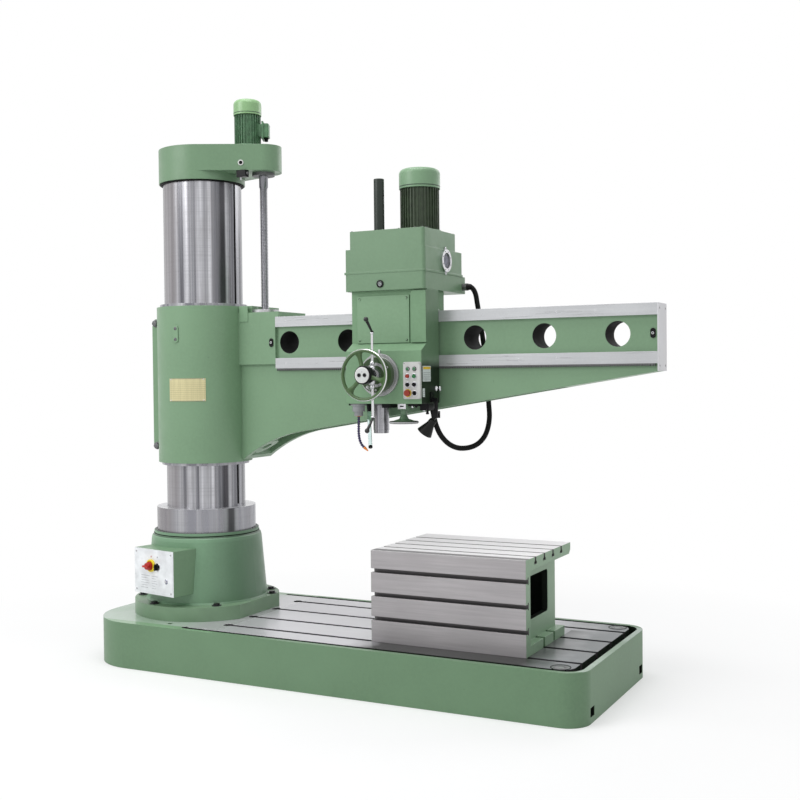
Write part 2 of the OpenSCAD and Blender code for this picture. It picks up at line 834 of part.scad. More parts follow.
module lift_rotor() {
  color(steel) at_lift_motor() {
    translate([0, 0, -30]) cylinder(r = 12, h = lift_motor_h + 62);
    translate([0, 0, 24]) cylinder(r = lift_motor_r - 27, h = lift_motor_h - 42);
    translate([0, 0, lift_motor_h + 8]) fan(lift_motor_r - 12, 12, 7, 24);
  }
}

module screw_bearing() {
  color(black) translate([screw_x, screw_y, cap_z - bearing_h]) tube(bearing_r, journal_r + slip, bearing_h);
}

module lift_screw() {
  color(chrome) translate([screw_x, screw_y, 0]) {
    translate([0, 0, screw_bottom]) cylinder(r = screw_r, h = collar_z - screw_bottom + 1);
    translate([0, 0, collar_z]) cylinder(r = journal_r, h = screw_top - collar_z);
  }
}

// Side outline of the arm behind its guideways, from above the screw to the tip
module arm_side() {
  difference() {
    polygon([
      [0, sleeve_bottom + 13], [0, sleeve_top], [crest_end, sleeve_top], [crest_end, boss_top],
      [boss_end, boss_top], [boss_end, guide_top], [arm_end, guide_top], [arm_end, arm_tip_z],
      [sweep_x, sweep_z], [sweep_x, sleeve_bottom + 13]]);
    translate([sweep_cx, sweep_cz]) circle(r = sweep_r, $fn = 180);
  }
}

// Plan of the arm, thicker towards the column
module arm_plan() {
  polygon([[0, web_y], [arm_end, web_y], [arm_end, tip_back], [root_x, root_back], [0, root_back]]);
}

module arm_solid() {
  intersection() {
    translate([0, through / 2, 0]) rotate([90, 0, 0]) linear_extrude(through) arm_side();
    translate([0, 0, arm_floor]) linear_extrude(through) arm_plan();
  }
  // Block around the screw, flush with the guideways
  bar([sleeve_r - 10, guide_y, boss_low_z], [guide_start, web_y + 1, boss_top]);
  bar([guide_start - 1, guide_y, guide_top], [boss_end, web_y + 1, boss_top]);
}

module arm_casting() {
  color(green) difference() {
    union() {
      arm_solid();
      translate([0, 0, sleeve_bottom]) cylinder(r = sleeve_r, h = sleeve_top - sleeve_bottom);
      // Rib of the split clamp on the side away from the arm
      translate([0, rib_y, 0]) rotate([90, 0, 0]) linear_extrude(2 * rib_y) polygon([
        [0, rib_low], [-rib_x + rib_chamfer / 2, rib_low], [-rib_x, rib_low + rib_chamfer / 2],
        [-rib_x, rib_high - rib_chamfer], [-rib_x + rib_chamfer / 2, rib_high], [0, rib_high]]);
    }
    // Hollow underside between the front and back walls, with the boss of the screw left standing
    difference() {
      translate([0, 0, arm_floor]) linear_extrude(pocket_top - arm_floor) polygon([
        [pocket_x0, pocket_y], [pocket_x1, pocket_y], [pocket_x1, tip_back + 14],
        [root_x, root_back - arm_wall], [pocket_x0, root_back - arm_wall]]);
      translate([screw_x, screw_y, arm_floor - 1]) cylinder(r = screw_boss_r, h = pocket_top);
    }
    translate([0, 0, sleeve_bottom - 1]) cylinder(r = col_r + run, h = sleeve_top - sleeve_bottom + 2);
    translate([screw_x, screw_y, arm_floor]) cylinder(r = screw_r + 6, h = boss_top);
    translate([screw_x, screw_y, nut_low]) cylinder(r = nut_r, h = boss_top);
    for (i = [0:light_count - 1])
      translate([light_x + i * light_pitch, through / 2, light_z]) rotate([90, 0, 0])
        cylinder(r = light_d / 2, h = through);
    // Clamp bolts and the cut of the split clamp
    for (z = clamp_hole_z)
      translate([-clamp_hole_x, rib_y + 1, z]) rotate([90, 0, 0]) cylinder(r = clamp_hole_r, h = 2 * rib_y + 2);
    bar([-rib_x - 1, -4, sleeve_bottom - 1], [-col_r + 20, 4, sleeve_top + 1]);
    // Holes of the stop pins at both ends of the guideways
    for (x = [guide_start - 24, arm_end - 24])
      translate([x, web_y + 20, light_z]) rotate([90, 0, 0]) cylinder(r = stop_pin_r, h = 60);
  }
  // Key that runs in the column's keyway
  color(steel) bar([col_r - key_depth + 1, -key_w / 2 + 0.5, sleeve_bottom + 130],
    [col_r + 2, key_w / 2 - 0.5, sleeve_top - 120]);
}

module arm_guideways() {
  color(steel) {
    bar([guide_start, guide_y, guide_top - guide_h], [arm_end, web_y, guide_top]);
    bar([guide_start, guide_y, guide_low_z], [arm_end, web_y, guide_low_top]);
  }
}

module column_wipers() {
  color(chrome) {
    translate([0, 0, sleeve_top]) tube(col_r + wiper_w, col_r + run, wiper_h);
    translate([0, 0, sleeve_bottom - wiper_h]) tube(col_r + wiper_w, col_r + run, wiper_h);
  }
}

module lift_nut() {
  color(iron) difference() {
    translate([screw_x, screw_y, 0]) {
      translate([0, 0, nut_low]) cylinder(r = nut_r, h = boss_top - nut_low + 1);
      translate([0, 0, boss_top]) cylinder(r = nut_flange_r, h = nut_flange_h);
    }
    translate([screw_x, screw_y, nut_low - 1]) cylinder(r = screw_r + run, h = 200);
    // Flat where the nut's flange stands beside the sleeve
    bar([0, -200, boss_top - 1], [crest_end + slip, 200, boss_top + nut_flange_h + 1]);
  }
}

module arm_end_plate() {
  color(white) difference() {
    bar([arm_end, guide_y, arm_tip_z], [arm_end + end_plate_t, tip_back, guide_top]);
    for (y = [guide_y + 22, tip_back - 22], z = [arm_tip_z + 24, guide_top - 24])
      translate([arm_end - 1, y, z]) rotate([0, 90, 0]) cylinder(r = 6, h = end_plate_t + 2);
  }
}

// Teeth point down towards the pinion on the head
module traverse_rack() {
  teeth_left = floor((dial_x - guide_start) / (PI * traverse_module));
  teeth_right = floor((arm_end - dial_x) / (PI * traverse_module));
  color(steel) translate([dial_x, web_y, rack_line]) rotate([90, 0, 0]) linear_extrude(guide_t - 1)
    mirror([0, 1]) polygon(rack_points(traverse_module, 1 - teeth_left, teeth_right - 1, rack_top - rack_line));
}

module rating_plate() {
  color([0.83, 0.76, 0.48]) intersection() {
    translate([0, 0, sleeve_bottom + 336]) tube(sleeve_r + 1.6, sleeve_r + 0.1, 123);
    rotate([0, 0, plate_turn]) translate([0, -plate_half_w, sleeve_bottom]) cube([sleeve_r + 20, 2 * plate_half_w, through]);
  }
}

module head_casting() {
  color(green) difference() {
    union() {
      bar([head_x0, -head_front, head_bottom], [head_x1, head_back, gearbox_z]);
      // Lower front, which stands forward of the upper part
      translate([head_x0, 0, 0]) rotate([90, 0, 90]) linear_extrude(head_w) polygon([
        [head_back, head_bottom], [-nose_front, head_bottom], [-nose_front, nose_z],
        [-head_front, nose_z + nose_slope_h], [head_back, nose_z + nose_slope_h]]);
      // Saddle that carries the gearbox over the arm
      bar([head_x0 + saddle_inset, head_back - 1, saddle_low], [head_x1 - saddle_inset, saddle_back, gearbox_z]);
      // Raised strip beside the front cover
      translate([0, -head_front + 1, 0]) rotate([90, 0, 0]) linear_extrude(strip_t + 1) {
        square_from([strip_x0, nose_z + nose_slope_h], [head_x1, gearbox_z - 26]);
        square_from([strip_x0 + 20, nose_z + nose_slope_h], [head_x1, gearbox_z - 6]);
        translate([strip_x0 + 20, gearbox_z - 26]) circle(r = 20);
      }
      // Block that carries the fine feed shaft
      bar([fine_x - 25, fine_y - 20, head_bottom - 30], [fine_x + 25, fine_y + 20, head_bottom + 1]);
    }
    translate([spindle_x, spindle_y, head_bottom - 1]) cylinder(r = quill_r + run, h = gearbox_z);
    front_rod(dial_x, head_back + 1, dial_z, feed_shaft_r + run, 300);
    // Room for the feed pinion
    front_rod(dial_x, spindle_y + 14, dial_z, feed_r + 5, 28);
    // Sockets behind the panel for its buttons
    for (x = panel_col, z = panel_row) front_rod(x, -nose_front + 12, z, push_r, 20);
    translate([fine_x, fine_y, head_bottom - 31]) cylinder(r = 8 + run, h = 70);
  }
}

module gearbox_case() {
  color(green) difference() {
    block([case_x0, -case_front, gearbox_z], [case_x1, case_back, case_top], edge_r);
    block([case_x0 + case_wall, -case_front + case_wall, gearbox_z + case_wall],
      [case_x1 - case_wall, case_back - case_wall, case_top + 1], edge_r - case_wall + 2);
    translate([spindle_x, spindle_y, gearbox_z - 1]) cylinder(r = quill_r + 2, h = 40);
    front_rod(spindle_x + 50, -case_front + 4, gearbox_z + 32, 9, 10);
  }
  color(green) difference() {
    translate([mid_x, mid_y, gearbox_z + case_wall]) cylinder(r = mid_boss_r, h = low_gear_z - gearbox_z - case_wall - slip);
    translate([mid_x, mid_y, gearbox_z + case_wall + 2]) cylinder(r = mid_shaft_r + run, h = 100);
  }
  color(green) difference() {
    translate([spindle_x, spindle_y, gearbox_z + case_wall]) cylinder(r = quill_r + 12, h = low_gear_z - gearbox_z - case_wall - slip);
    translate([spindle_x, spindle_y, gearbox_z]) cylinder(r = quill_r + 2, h = 100);
  }
}

module gearbox_cover() {
  color(green) difference() {
    union() {
      block([case_x0, -case_front, case_top], [case_x1, cover_mid_back, cover_mid_top], edge_r);
      block([case_x0 - ledge, -case_front - 1, case_top], [case_x1 + 3, cover_mid_back + ledge, case_top + ledge_h], edge_r);
      block([case_x0 + cover_inset, -case_front, cover_mid_top - 1], [case_x1 - 2, cover_top_back, cover_top], edge_r);
    }
    block([case_x0 + case_wall, -case_front + case_wall, case_top - 1],
      [case_x1 - case_wall, cover_mid_back - case_wall, cover_mid_top - case_wall], edge_r);
    block([case_x0 + cover_inset + case_wall, -case_front + case_wall, cover_mid_top - case_wall - 1],
      [case_x1 - case_wall - 2, cover_top_back - case_wall, cover_top - cover_roof], edge_r);
    translate([spindle_x, spindle_y, cover_top - 30]) cylinder(r = spline_r + 4, h = 40);
    translate([motor_x, motor_y, cover_top - 30]) cylinder(r = 20, h = 40);
    translate([case_x1 - case_wall - 1, sight_y, sight_z]) rotate([0, 90, 0]) cylinder(r = sight_r - 16, h = 40);
  }
  // Bearing boss above the intermediate shaft
  color(green) difference() {
    translate([mid_x, mid_y, mid_high - 16]) cylinder(r = mid_boss_r, h = cover_top - cover_roof - mid_high + 17);
    translate([mid_x, mid_y, mid_high - 18]) cylinder(r = mid_shaft_r + run, h = 20);
  }
}

module front_cover() {
  x0 = head_x0 + 34;
  x1 = head_x1 - 94;
  color(green) bar([x0, -head_front - 8, nose_z + nose_slope_h], [x1, -head_front, gearbox_z - 26]);
  color(black) for (x = [x0 + 16, x1 - 16], z = [nose_z + nose_slope_h + 16, gearbox_z - 42])
    front_rod(x, -head_front - 8, z, 5, 3);
}

module sight_ring() {
  color(chrome) translate([case_x1, sight_y, sight_z]) rotate([0, 90, 0]) difference() {
    cylinder(r = sight_r, h = 12);
    translate([0, 0, -1]) cylinder(r = sight_r - 16, h = 14);
  }
}

module sight_lens() {
  color([0.7, 0.85, 0.9, 0.4]) translate([case_x1 - 2, sight_y, sight_z]) rotate([0, 90, 0]) cylinder(r = sight_r - 16, h = 9);
}

module at_head_motor() {
  translate([motor_x, motor_y, cover_top]) children();
}

module head_motor() {
  color([0.22, 0.28, 0.22]) at_head_motor() difference() {
    finned_motor(head_motor_r, head_motor_h, 36);
    translate([0, 0, 20]) cylinder(r = head_motor_r - 34, h = head_motor_h - 34);
    translate([0, 0, -1]) cylinder(r = 16 + run, h = head_motor_h + 2);
  }
}

module head_motor_cowl() {
  color(green) at_head_motor() translate([0, 0, head_motor_h]) motor_cowl(head_motor_r + 5, head_cowl_h, 5);
}

module head_rotor() {
  color(steel) {
    at_head_motor() {
      translate([0, 0, 26]) cylinder(r = head_motor_r - 36, h = head_motor_h - 46);
      translate([0, 0, head_motor_h + 8]) fan(head_motor_r - 16, 16, 9, 34);
    }
    translate([motor_x, motor_y, high_gear_z]) cylinder(r = 16, h = cover_top + head_motor_h + 44 - high_gear_z);
    translate([motor_x, motor_y, high_gear_z]) gear(gear_m, pinion_z, gear_w, motor_turn + 180 + 180 / pinion_z);
  }
}

module intermediate_gears() {
  color(steel) translate([mid_x, mid_y, 0]) {
    translate([0, 0, mid_low + 3]) cylinder(r = mid_shaft_r, h = mid_high - mid_low - 6);
    translate([0, 0, low_gear_z]) gear(gear_m, mid_small_z, gear_w, mid_turn + 180 + 180 / mid_small_z);
    translate([0, 0, high_gear_z]) gear(gear_m, mid_big_z, gear_w, motor_turn);
  }
}

module spindle_gear() {
  color(steel) translate([spindle_x, spindle_y, 0]) difference() {
    union() {
      translate([0, 0, low_gear_z]) gear(gear_m, drive_z, gear_w, mid_turn);
      translate([0, 0, low_gear_z]) cylinder(r = spline_r + 12, h = gear_w + 20);
    }
    translate([0, 0, low_gear_z - 1]) cylinder(r = spline_r + run, h = gear_w + 22);
  }
}

module spindle_guard() {
  color(black) translate([spindle_x, spindle_y, cover_top]) difference() {
    union() {
      cylinder(r = guard_r, h = guard_top - cover_top);
      cylinder(r = guard_r + 9, h = 6);
    }
    translate([0, 0, -1]) cylinder(r = guard_r - guard_wall, h = guard_top - cover_top - guard_wall + 1);
  }
}

module control_panel() {
  color(white) difference() {
    translate([0, -nose_front, 0]) rotate([90, 0, 0])
      block([panel_x0, panel_z0, 0], [panel_x1, panel_z1, panel_t], 8);
    for (x = panel_col, z = panel_row) front_rod(x, -nose_front + 1, z, push_r - 2 + run, panel_t + 2);
  }
}

module panel_lamps() {
  color([0.2, 0.6, 0.3]) for (x = panel_col) {
    front_rod(x, -nose_front + 4, panel_row[0], push_r - 2, panel_t + 4);
    front_rod(x, -panel_front, panel_row[0], push_r - 1, 5);
  }
}

// Push button with a stem through the panel; col and row pick its place
module push_button(col, row, head_r, proud) {
  x = panel_col[col];
  z = panel_row[row];
  front_rod(x, -nose_front + 4, z, push_r - 2, panel_t + 4 + push_travel + proud);
  front_rod(x, -panel_front - push_travel - slip, z, head_r, proud);
}

module stop_button() { color(red) push_button(0, 1, push_r, 6); }
module start_button() { color([0.1, 0.4, 0.25]) push_button(1, 1, push_r, 6); }
module raise_button() { color(black) push_button(0, 2, push_r, 6); }
module lower_button() { color(black) push_button(1, 2, push_r, 6); }
module emergency_stop() { color(red) push_button(0, 3, 15, 12); }

module clamp_selector() {
  x = panel_col[1];
  z = panel_row[3];
  color(black) {
    front_rod(x, -nose_front + 4, z, push_r - 2, panel_t + 8);
    front_rod(x, -panel_front - slip, z, push_r + 1, 5);
    bar([x - 3, -panel_front - 14, z - push_r], [x + 3, -panel_front - 5, z + push_r]);
  }
}

module coolant_block() {
  color(steel) translate([hose_at[0], hose_at[1], 0]) {
    translate([0, 0, head_bottom - hose_block_h[0]]) cylinder(r = hose_block_r[0], h = hose_block_h[0]);
    translate([0, 0, head_bottom - hose_block_h[0] - hose_block_h[1]])
      cylinder(r = hose_block_r[1], h = hose_block_h[1] + 1);
    translate([0, 0, hose_top]) cylinder(r = hose_block_r[2], h = hose_block_h[2] + 1);
  }
}

// Links of the jointed hose, each one turned a little further than the one above
function hose_angle(i) = i < 0 ? 0 : hose_angle(i - 1) + hose_turns[i] * 0.45;
function hose_pos(i) = i < 0 ? [0, 0] : hose_pos(i - 1) + hose_link * [-sin(hose_angle(i)), -cos(hose_angle(i))];

module coolant_hose() {
  color([0.2, 0.12, 0.35]) translate([hose_at[0], hose_at[1], hose_top]) {
    for (i = [0:len(hose_turns) - 1]) {
      p = hose_pos(i - 1);
      translate([p[0], 0, p[1]]) rotate([0, 180 + hose_angle(i), 0]) {
        cylinder(r1 = hose_link_r, r2 = hose_link_r - 2.5, h = hose_link + 1);
      }
    }
    q = hose_pos(len(hose_turns) - 1);
    translate([q[0], 0, q[1]]) rotate([0, 180 + hose_angle(len(hose_turns) - 1), 0])
      cylinder(r1 = hose_link_r, r2 = 3, h = 26);
  }
}

module lamp_bracket() {
  color(black) translate([0, lamp_at[1], 0]) {
    bar([head_x1, -18, head_bottom + 6], [head_x1 + 6, 18, head_bottom + 56]);
    bar([head_x1 + 5, -10, head_bottom + 8], [lamp_at[0] + 10, 10, head_bottom + 26]);
    translate([lamp_at[0], 0, lamp_at[2] + 20]) cylinder(r = 9, h = head_bottom - lamp_at[2] - 10);
    difference() {
      bar([lamp_at[0] - 14, -16, lamp_at[2] - 10], [lamp_at[0] + 14, 16, lamp_at[2] + 24]);
      bar([lamp_at[0] - 15, -8 - slip, lamp_at[2] - 11], [lamp_at[0] + 15, 8 + slip, lamp_at[2] + 13]);
      front_rod(lamp_at[0], 17, lamp_at[2], 4, 34);
    }
  }
}

module work_lamp() {
  color(black) translate(lamp_at) {
    front_rod(0, 16, 0, 4 - run, 32);
    front_rod(0, 8, 0, 10, 16);
    rotate([0, 180 + lamp_tilt, 0]) {
      translate([-6, -7, 0]) cube([12, 14, 26]);
      translate([0, 0, 24]) rotate_extrude() polygon([
        [0, 0], [16, 0], [19, 6], [21, 28], [40, 82], [37.5, 82], [18, 32], [0, 32]]);
    }
  }
}

// Sweeps a round tube along a list of points
function unit(v) = v / norm(v);
function along(p, i) = unit(p[min(i + 1, len(p) - 1)] - p[max(i - 1, 0)]);
function side(t) = unit(cross(t, [0.3, 1, 0.2]));
module swept(p, r, n) {
  k = len(p);
  polyhedron(
    points = concat(
      [for (i = [0:k - 1], j = [0:n - 1])
        let (t = along(p, i), u = side(t), v = cross(t, u)) p[i] + r * (cos(j * 360 / n) * u + sin(j * 360 / n) * v)],
      [p[0], p[k - 1]]),
    faces = concat(
      [for (i = [0:k - 2], j = [0:n - 1]) [i * n + j, i * n + (j + 1) % n, (i + 1) * n + j]],
      [for (i = [0:k - 2], j = [0:n - 1]) [i * n + (j + 1) % n, (i + 1) * n + (j + 1) % n, (i + 1) * n + j]],
      [for (j = [0:n - 1]) [k * n, (j + 1) % n, j]],
      [for (j = [0:n - 1]) [k * n + 1, (k - 1) * n + j, (k - 1) * n + (j + 1) % n]]));
}

module conduit() {
  color(black) swept(conduit_route, conduit_d / 2, conduit_sides);
}

module conduit_glands() {
  a = conduit_route[0];
  b = conduit_route[len(conduit_route) - 1];
  color(black) {
    translate([case_x1, a[1], a[2]]) rotate([0, 90, 0]) cylinder(r = gland_r, h = a[0] - case_x1);
    translate(b) cylinder(r = gland_r, h = head_bottom - b[2]);
  }
}

module spoked_wheel() {
  rotate_extrude() translate([wheel_r - wheel_rim, 0]) circle(r = wheel_rim);
  for (a = [105, 225, 345]) rotate([0, 0, a]) translate([0, -9, -4]) cube([wheel_r - wheel_rim, 18, 8]);
}

module traverse_wheel() {
  color(green) difference() {
    union() {
      translate([dial_x, wheel_y, dial_z]) rotate([90, 0, 0]) spoked_wheel();
      front_rod(dial_x, wheel_y + 18, dial_z, wheel_hub_r, wheel_y + 18 - hub_face_y);
    }
    front_rod(dial_x, wheel_y + 19, dial_z, traverse_shaft_r, 15);
    for (s = [-1, 1]) front_rod(dial_x + s * button_gap, hub_face_y + 14, dial_z, button_r + run, 20);
  }
}

module traverse_shaft() {
  y1 = web_y - 1;
  color(steel) {
    front_rod(dial_x, y1, dial_z, traverse_shaft_r, y1 - (wheel_y + 4));
    translate([dial_x, y1, dial_z]) rotate([90, 0, 0]) gear(traverse_module, traverse_teeth, guide_t - 2, 90);
  }
}

module hub_button(s) {
  color(black) {
    front_rod(dial_x + s * button_gap, hub_face_y + 8, dial_z, button_r, 14);
  }
}
module clamp_button() { hub_button(-1); }
module release_button() { hub_button(1); }

module feed_dial() {
  color(green) difference() {
    union() {
      front_rod(dial_x, -dial_front, dial_z, dial_r, 12);
      front_rod(dial_x, -dial_front - 11, dial_z, dial_r - 18, dial_t - 11);
      front_rod(dial_x, spindle_y + 40, dial_z, feed_shaft_r, 40 - spindle_front + dial_front + 1);
      translate([dial_x, spindle_y + 10, dial_z]) rotate([90, 0, 0]) gear(feed_module, feed_teeth, 20, 180);
    }
    front_rod(dial_x, head_back + 50, dial_z, traverse_shaft_r + run, through / 3);
  }
}

module feed_levers() {
  color(chrome) difference() {
    union() {
      front_rod(dial_x, -dial_front - dial_t, dial_z, 32, lever_hub_t);
      for (s = [0, 180]) translate([dial_x, lever_y, dial_z]) rotate([0, s, 0]) {
        cylinder(r = lever_r, h = lever_reach);
        translate([0, 0, lever_reach]) sphere(r = lever_r + 1);
        translate([0, 0, lever_reach]) rotate([lever_bend, 0, 0]) {
          cylinder(r1 = lever_r - 2, r2 = grip_r - 4, h = lever_tip);
          translate([0, 0, lever_tip]) sphere(r = grip_r);
        }
      }
    }
    front_rod(dial_x, -dial_front - dial_t + 1, dial_z, traverse_shaft_r + run, lever_hub_t + 2);
  }
}

module fine_feed_wheel() {
  color(green) translate([fine_x, fine_y, fine_z]) {
    rotate_extrude() polygon([
      [0, 8], [fine_r - 14, 0], [fine_r - 6, 0], [fine_r, 4], [fine_r, 9], [fine_r - 6, 13],
      [fine_r - 14, 12], [24, 24], [14, 44], [0, 44]]);
    cylinder(r = 8, h = head_bottom - fine_z + 34);
    translate([0, 0, 44]) cylinder(r = 16, h = 25);
  }
}

module quill() {
  rack_low = -ceil((feed_up + 20) / (PI * feed_module));
  rack_high = ceil((feed_down + 10) / (PI * feed_module));
  color(steel) difference() {
    translate([spindle_x, spindle_y, quill_bottom]) cylinder(r = quill_r, h = quill_top - quill_bottom);
    translate([spindle_x, spindle_y, quill_bottom - 1]) cylinder(r = bore_r + run, h = quill_top);
    translate([spindle_x, spindle_y, quill_bottom + 70])
      cylinder(r = bore_r + 2, h = quill_top - quill_bottom - 140);
    // Gaps between the teeth of the feed rack
    difference() {
      bar([dial_x - feed_r - 1.25 * feed_module, spindle_y - 12, dial_z - feed_up - 25],
        [spindle_x + quill_r + 5, spindle_y + 12, quill_top + 1]);
      translate([dial_x - feed_r, spindle_y + 13, dial_z]) rotate([90, 0, 0]) linear_extrude(26)
        rotate(-90) polygon(rack_points(feed_module, -rack_high, -rack_low, 12));
    }
  }
}

module spindle() {
  color(chrome) translate([spindle_x, spindle_y, 0]) difference() {
    union() {
      translate([0, 0, quill_bottom - nose_h]) cylinder(r = nose_r, h = nose_h - slip);
      translate([0, 0, quill_bottom - 2]) cylinder(r = bore_r, h = quill_top - quill_bottom + 4);
      translate([0, 0, quill_top]) cylinder(r = spline_r, h = spline_top - quill_top);
    }
    translate([0, 0, quill_bottom - nose_h - 0.01])
      cylinder(r1 = taper_r, r2 = taper_r - taper_l * taper_slope, h = taper_l);
  }
}

base_casting();
base_fasteners();
box_table();
pedestal();
inner_column();
column_bearings();
switch_box();
switch_plate();
main_switch();
pump_switch();
outer_column();
clamp_ring();
top_cap();
lift_motor();
lift_motor_cowl();
screw_bearing();
lift_rotor();
lift_screw();
arm_casting();
arm_guideways();
column_wipers();
lift_nut();
arm_end_plate();
traverse_rack();
rating_plate();
head_casting();
gearbox_case();
gearbox_cover();
front_cover();
sight_ring();
sight_lens();
head_motor();
head_motor_cowl();
head_rotor();
intermediate_gears();
spindle_gear();
spindle_guard();
control_panel();
panel_lamps();
stop_button();
start_button();
raise_button();
lower_button();
emergency_stop();
clamp_selector();
coolant_block();
coolant_hose();
lamp_bracket();
work_lamp();
conduit();
conduit_glands();
traverse_wheel();
traverse_shaft();
clamp_button();
release_button();
feed_dial();
feed_levers();
fine_feed_wheel();
quill();
spindle();
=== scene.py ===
# Looks of the radial arm drill. Pieces are built in millimetres in the model's frame and turned into
# metres when their mesh is made. Camera, materials, floor and lights are in metres.
import bpy
import bmesh
import math
from mathutils import Matrix, Vector
from mathutils.bvhtree import BVHTree


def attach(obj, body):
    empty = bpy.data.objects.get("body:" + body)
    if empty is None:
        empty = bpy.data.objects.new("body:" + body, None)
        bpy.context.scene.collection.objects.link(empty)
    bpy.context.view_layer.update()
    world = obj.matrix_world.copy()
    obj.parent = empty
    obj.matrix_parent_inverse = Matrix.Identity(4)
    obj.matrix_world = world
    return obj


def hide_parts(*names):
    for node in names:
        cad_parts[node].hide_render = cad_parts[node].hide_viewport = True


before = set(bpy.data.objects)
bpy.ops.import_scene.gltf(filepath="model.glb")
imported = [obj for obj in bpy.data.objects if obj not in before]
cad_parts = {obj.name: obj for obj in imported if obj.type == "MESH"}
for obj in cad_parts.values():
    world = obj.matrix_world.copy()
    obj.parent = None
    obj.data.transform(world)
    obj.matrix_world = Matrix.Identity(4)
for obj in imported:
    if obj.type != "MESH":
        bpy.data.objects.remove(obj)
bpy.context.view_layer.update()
MM = 0.001
ON_AXIS = 1e-6
SAME_POINT = 1e-4
EDGE_GAIN = 6.0
# Axes and faces that several pieces share
DIAL_X, DIAL_Z = 1236, 1532
SPINDLE_X, SPINDLE_Y = 1170, -100
HEAD_SIDE, HEAD_UNDER = 1464, 1389.8
PANEL_Y = -250

# Camera
YAW, PITCH, ROLL = math.radians(26.91), math.radians(1.30), math.radians(-0.58)
fwd = Vector((-math.sin(YAW) * math.cos(PITCH), math.cos(YAW) * math.cos(PITCH), -math.sin(PITCH)))
right = Vector((math.cos(YAW), math.sin(YAW), 0))
up = right.cross(fwd)
r2 = math.cos(ROLL) * right + math.sin(ROLL) * up
u2 = -math.sin(ROLL) * right + math.cos(ROLL) * up
cam_data = bpy.data.cameras.new("camera")
cam = bpy.data.objects.new("camera", cam_data)
EYE = (3.8875, -5.1653, 1.5319)
bpy.context.scene.collection.objects.link(cam)
cam.matrix_world = Matrix((*((r2[i], u2[i], -fwd[i], EYE[i]) for i in range(3)), (0, 0, 0, 1)))
cam_data.sensor_width = 36
cam_data.lens = 51.198
cam_data.shift_x = -0.00877
cam_data.shift_y = 0.00069
cam_data.clip_start = 0.1
cam_data.clip_end = 100
bpy.context.scene.camera = cam


# Node graphs
def put(tree, socket, value):
    """Links an output to the socket, or sets the socket's own value."""
    if hasattr(value, "is_output"):
        tree.links.new(value, socket)
    elif isinstance(value, tuple) and len(value) == 3 and len(socket.default_value) == 4:
        socket.default_value = (*value, 1)
    else:
        socket.default_value = value


def add_node(tree, kind, inputs=None, **settings):
    node = tree.nodes.new("ShaderNode" + kind)
    for key, value in settings.items():
        setattr(node, key, value)
    for key, value in (inputs or {}).items():
        put(tree, node.inputs[key], value)
    return node


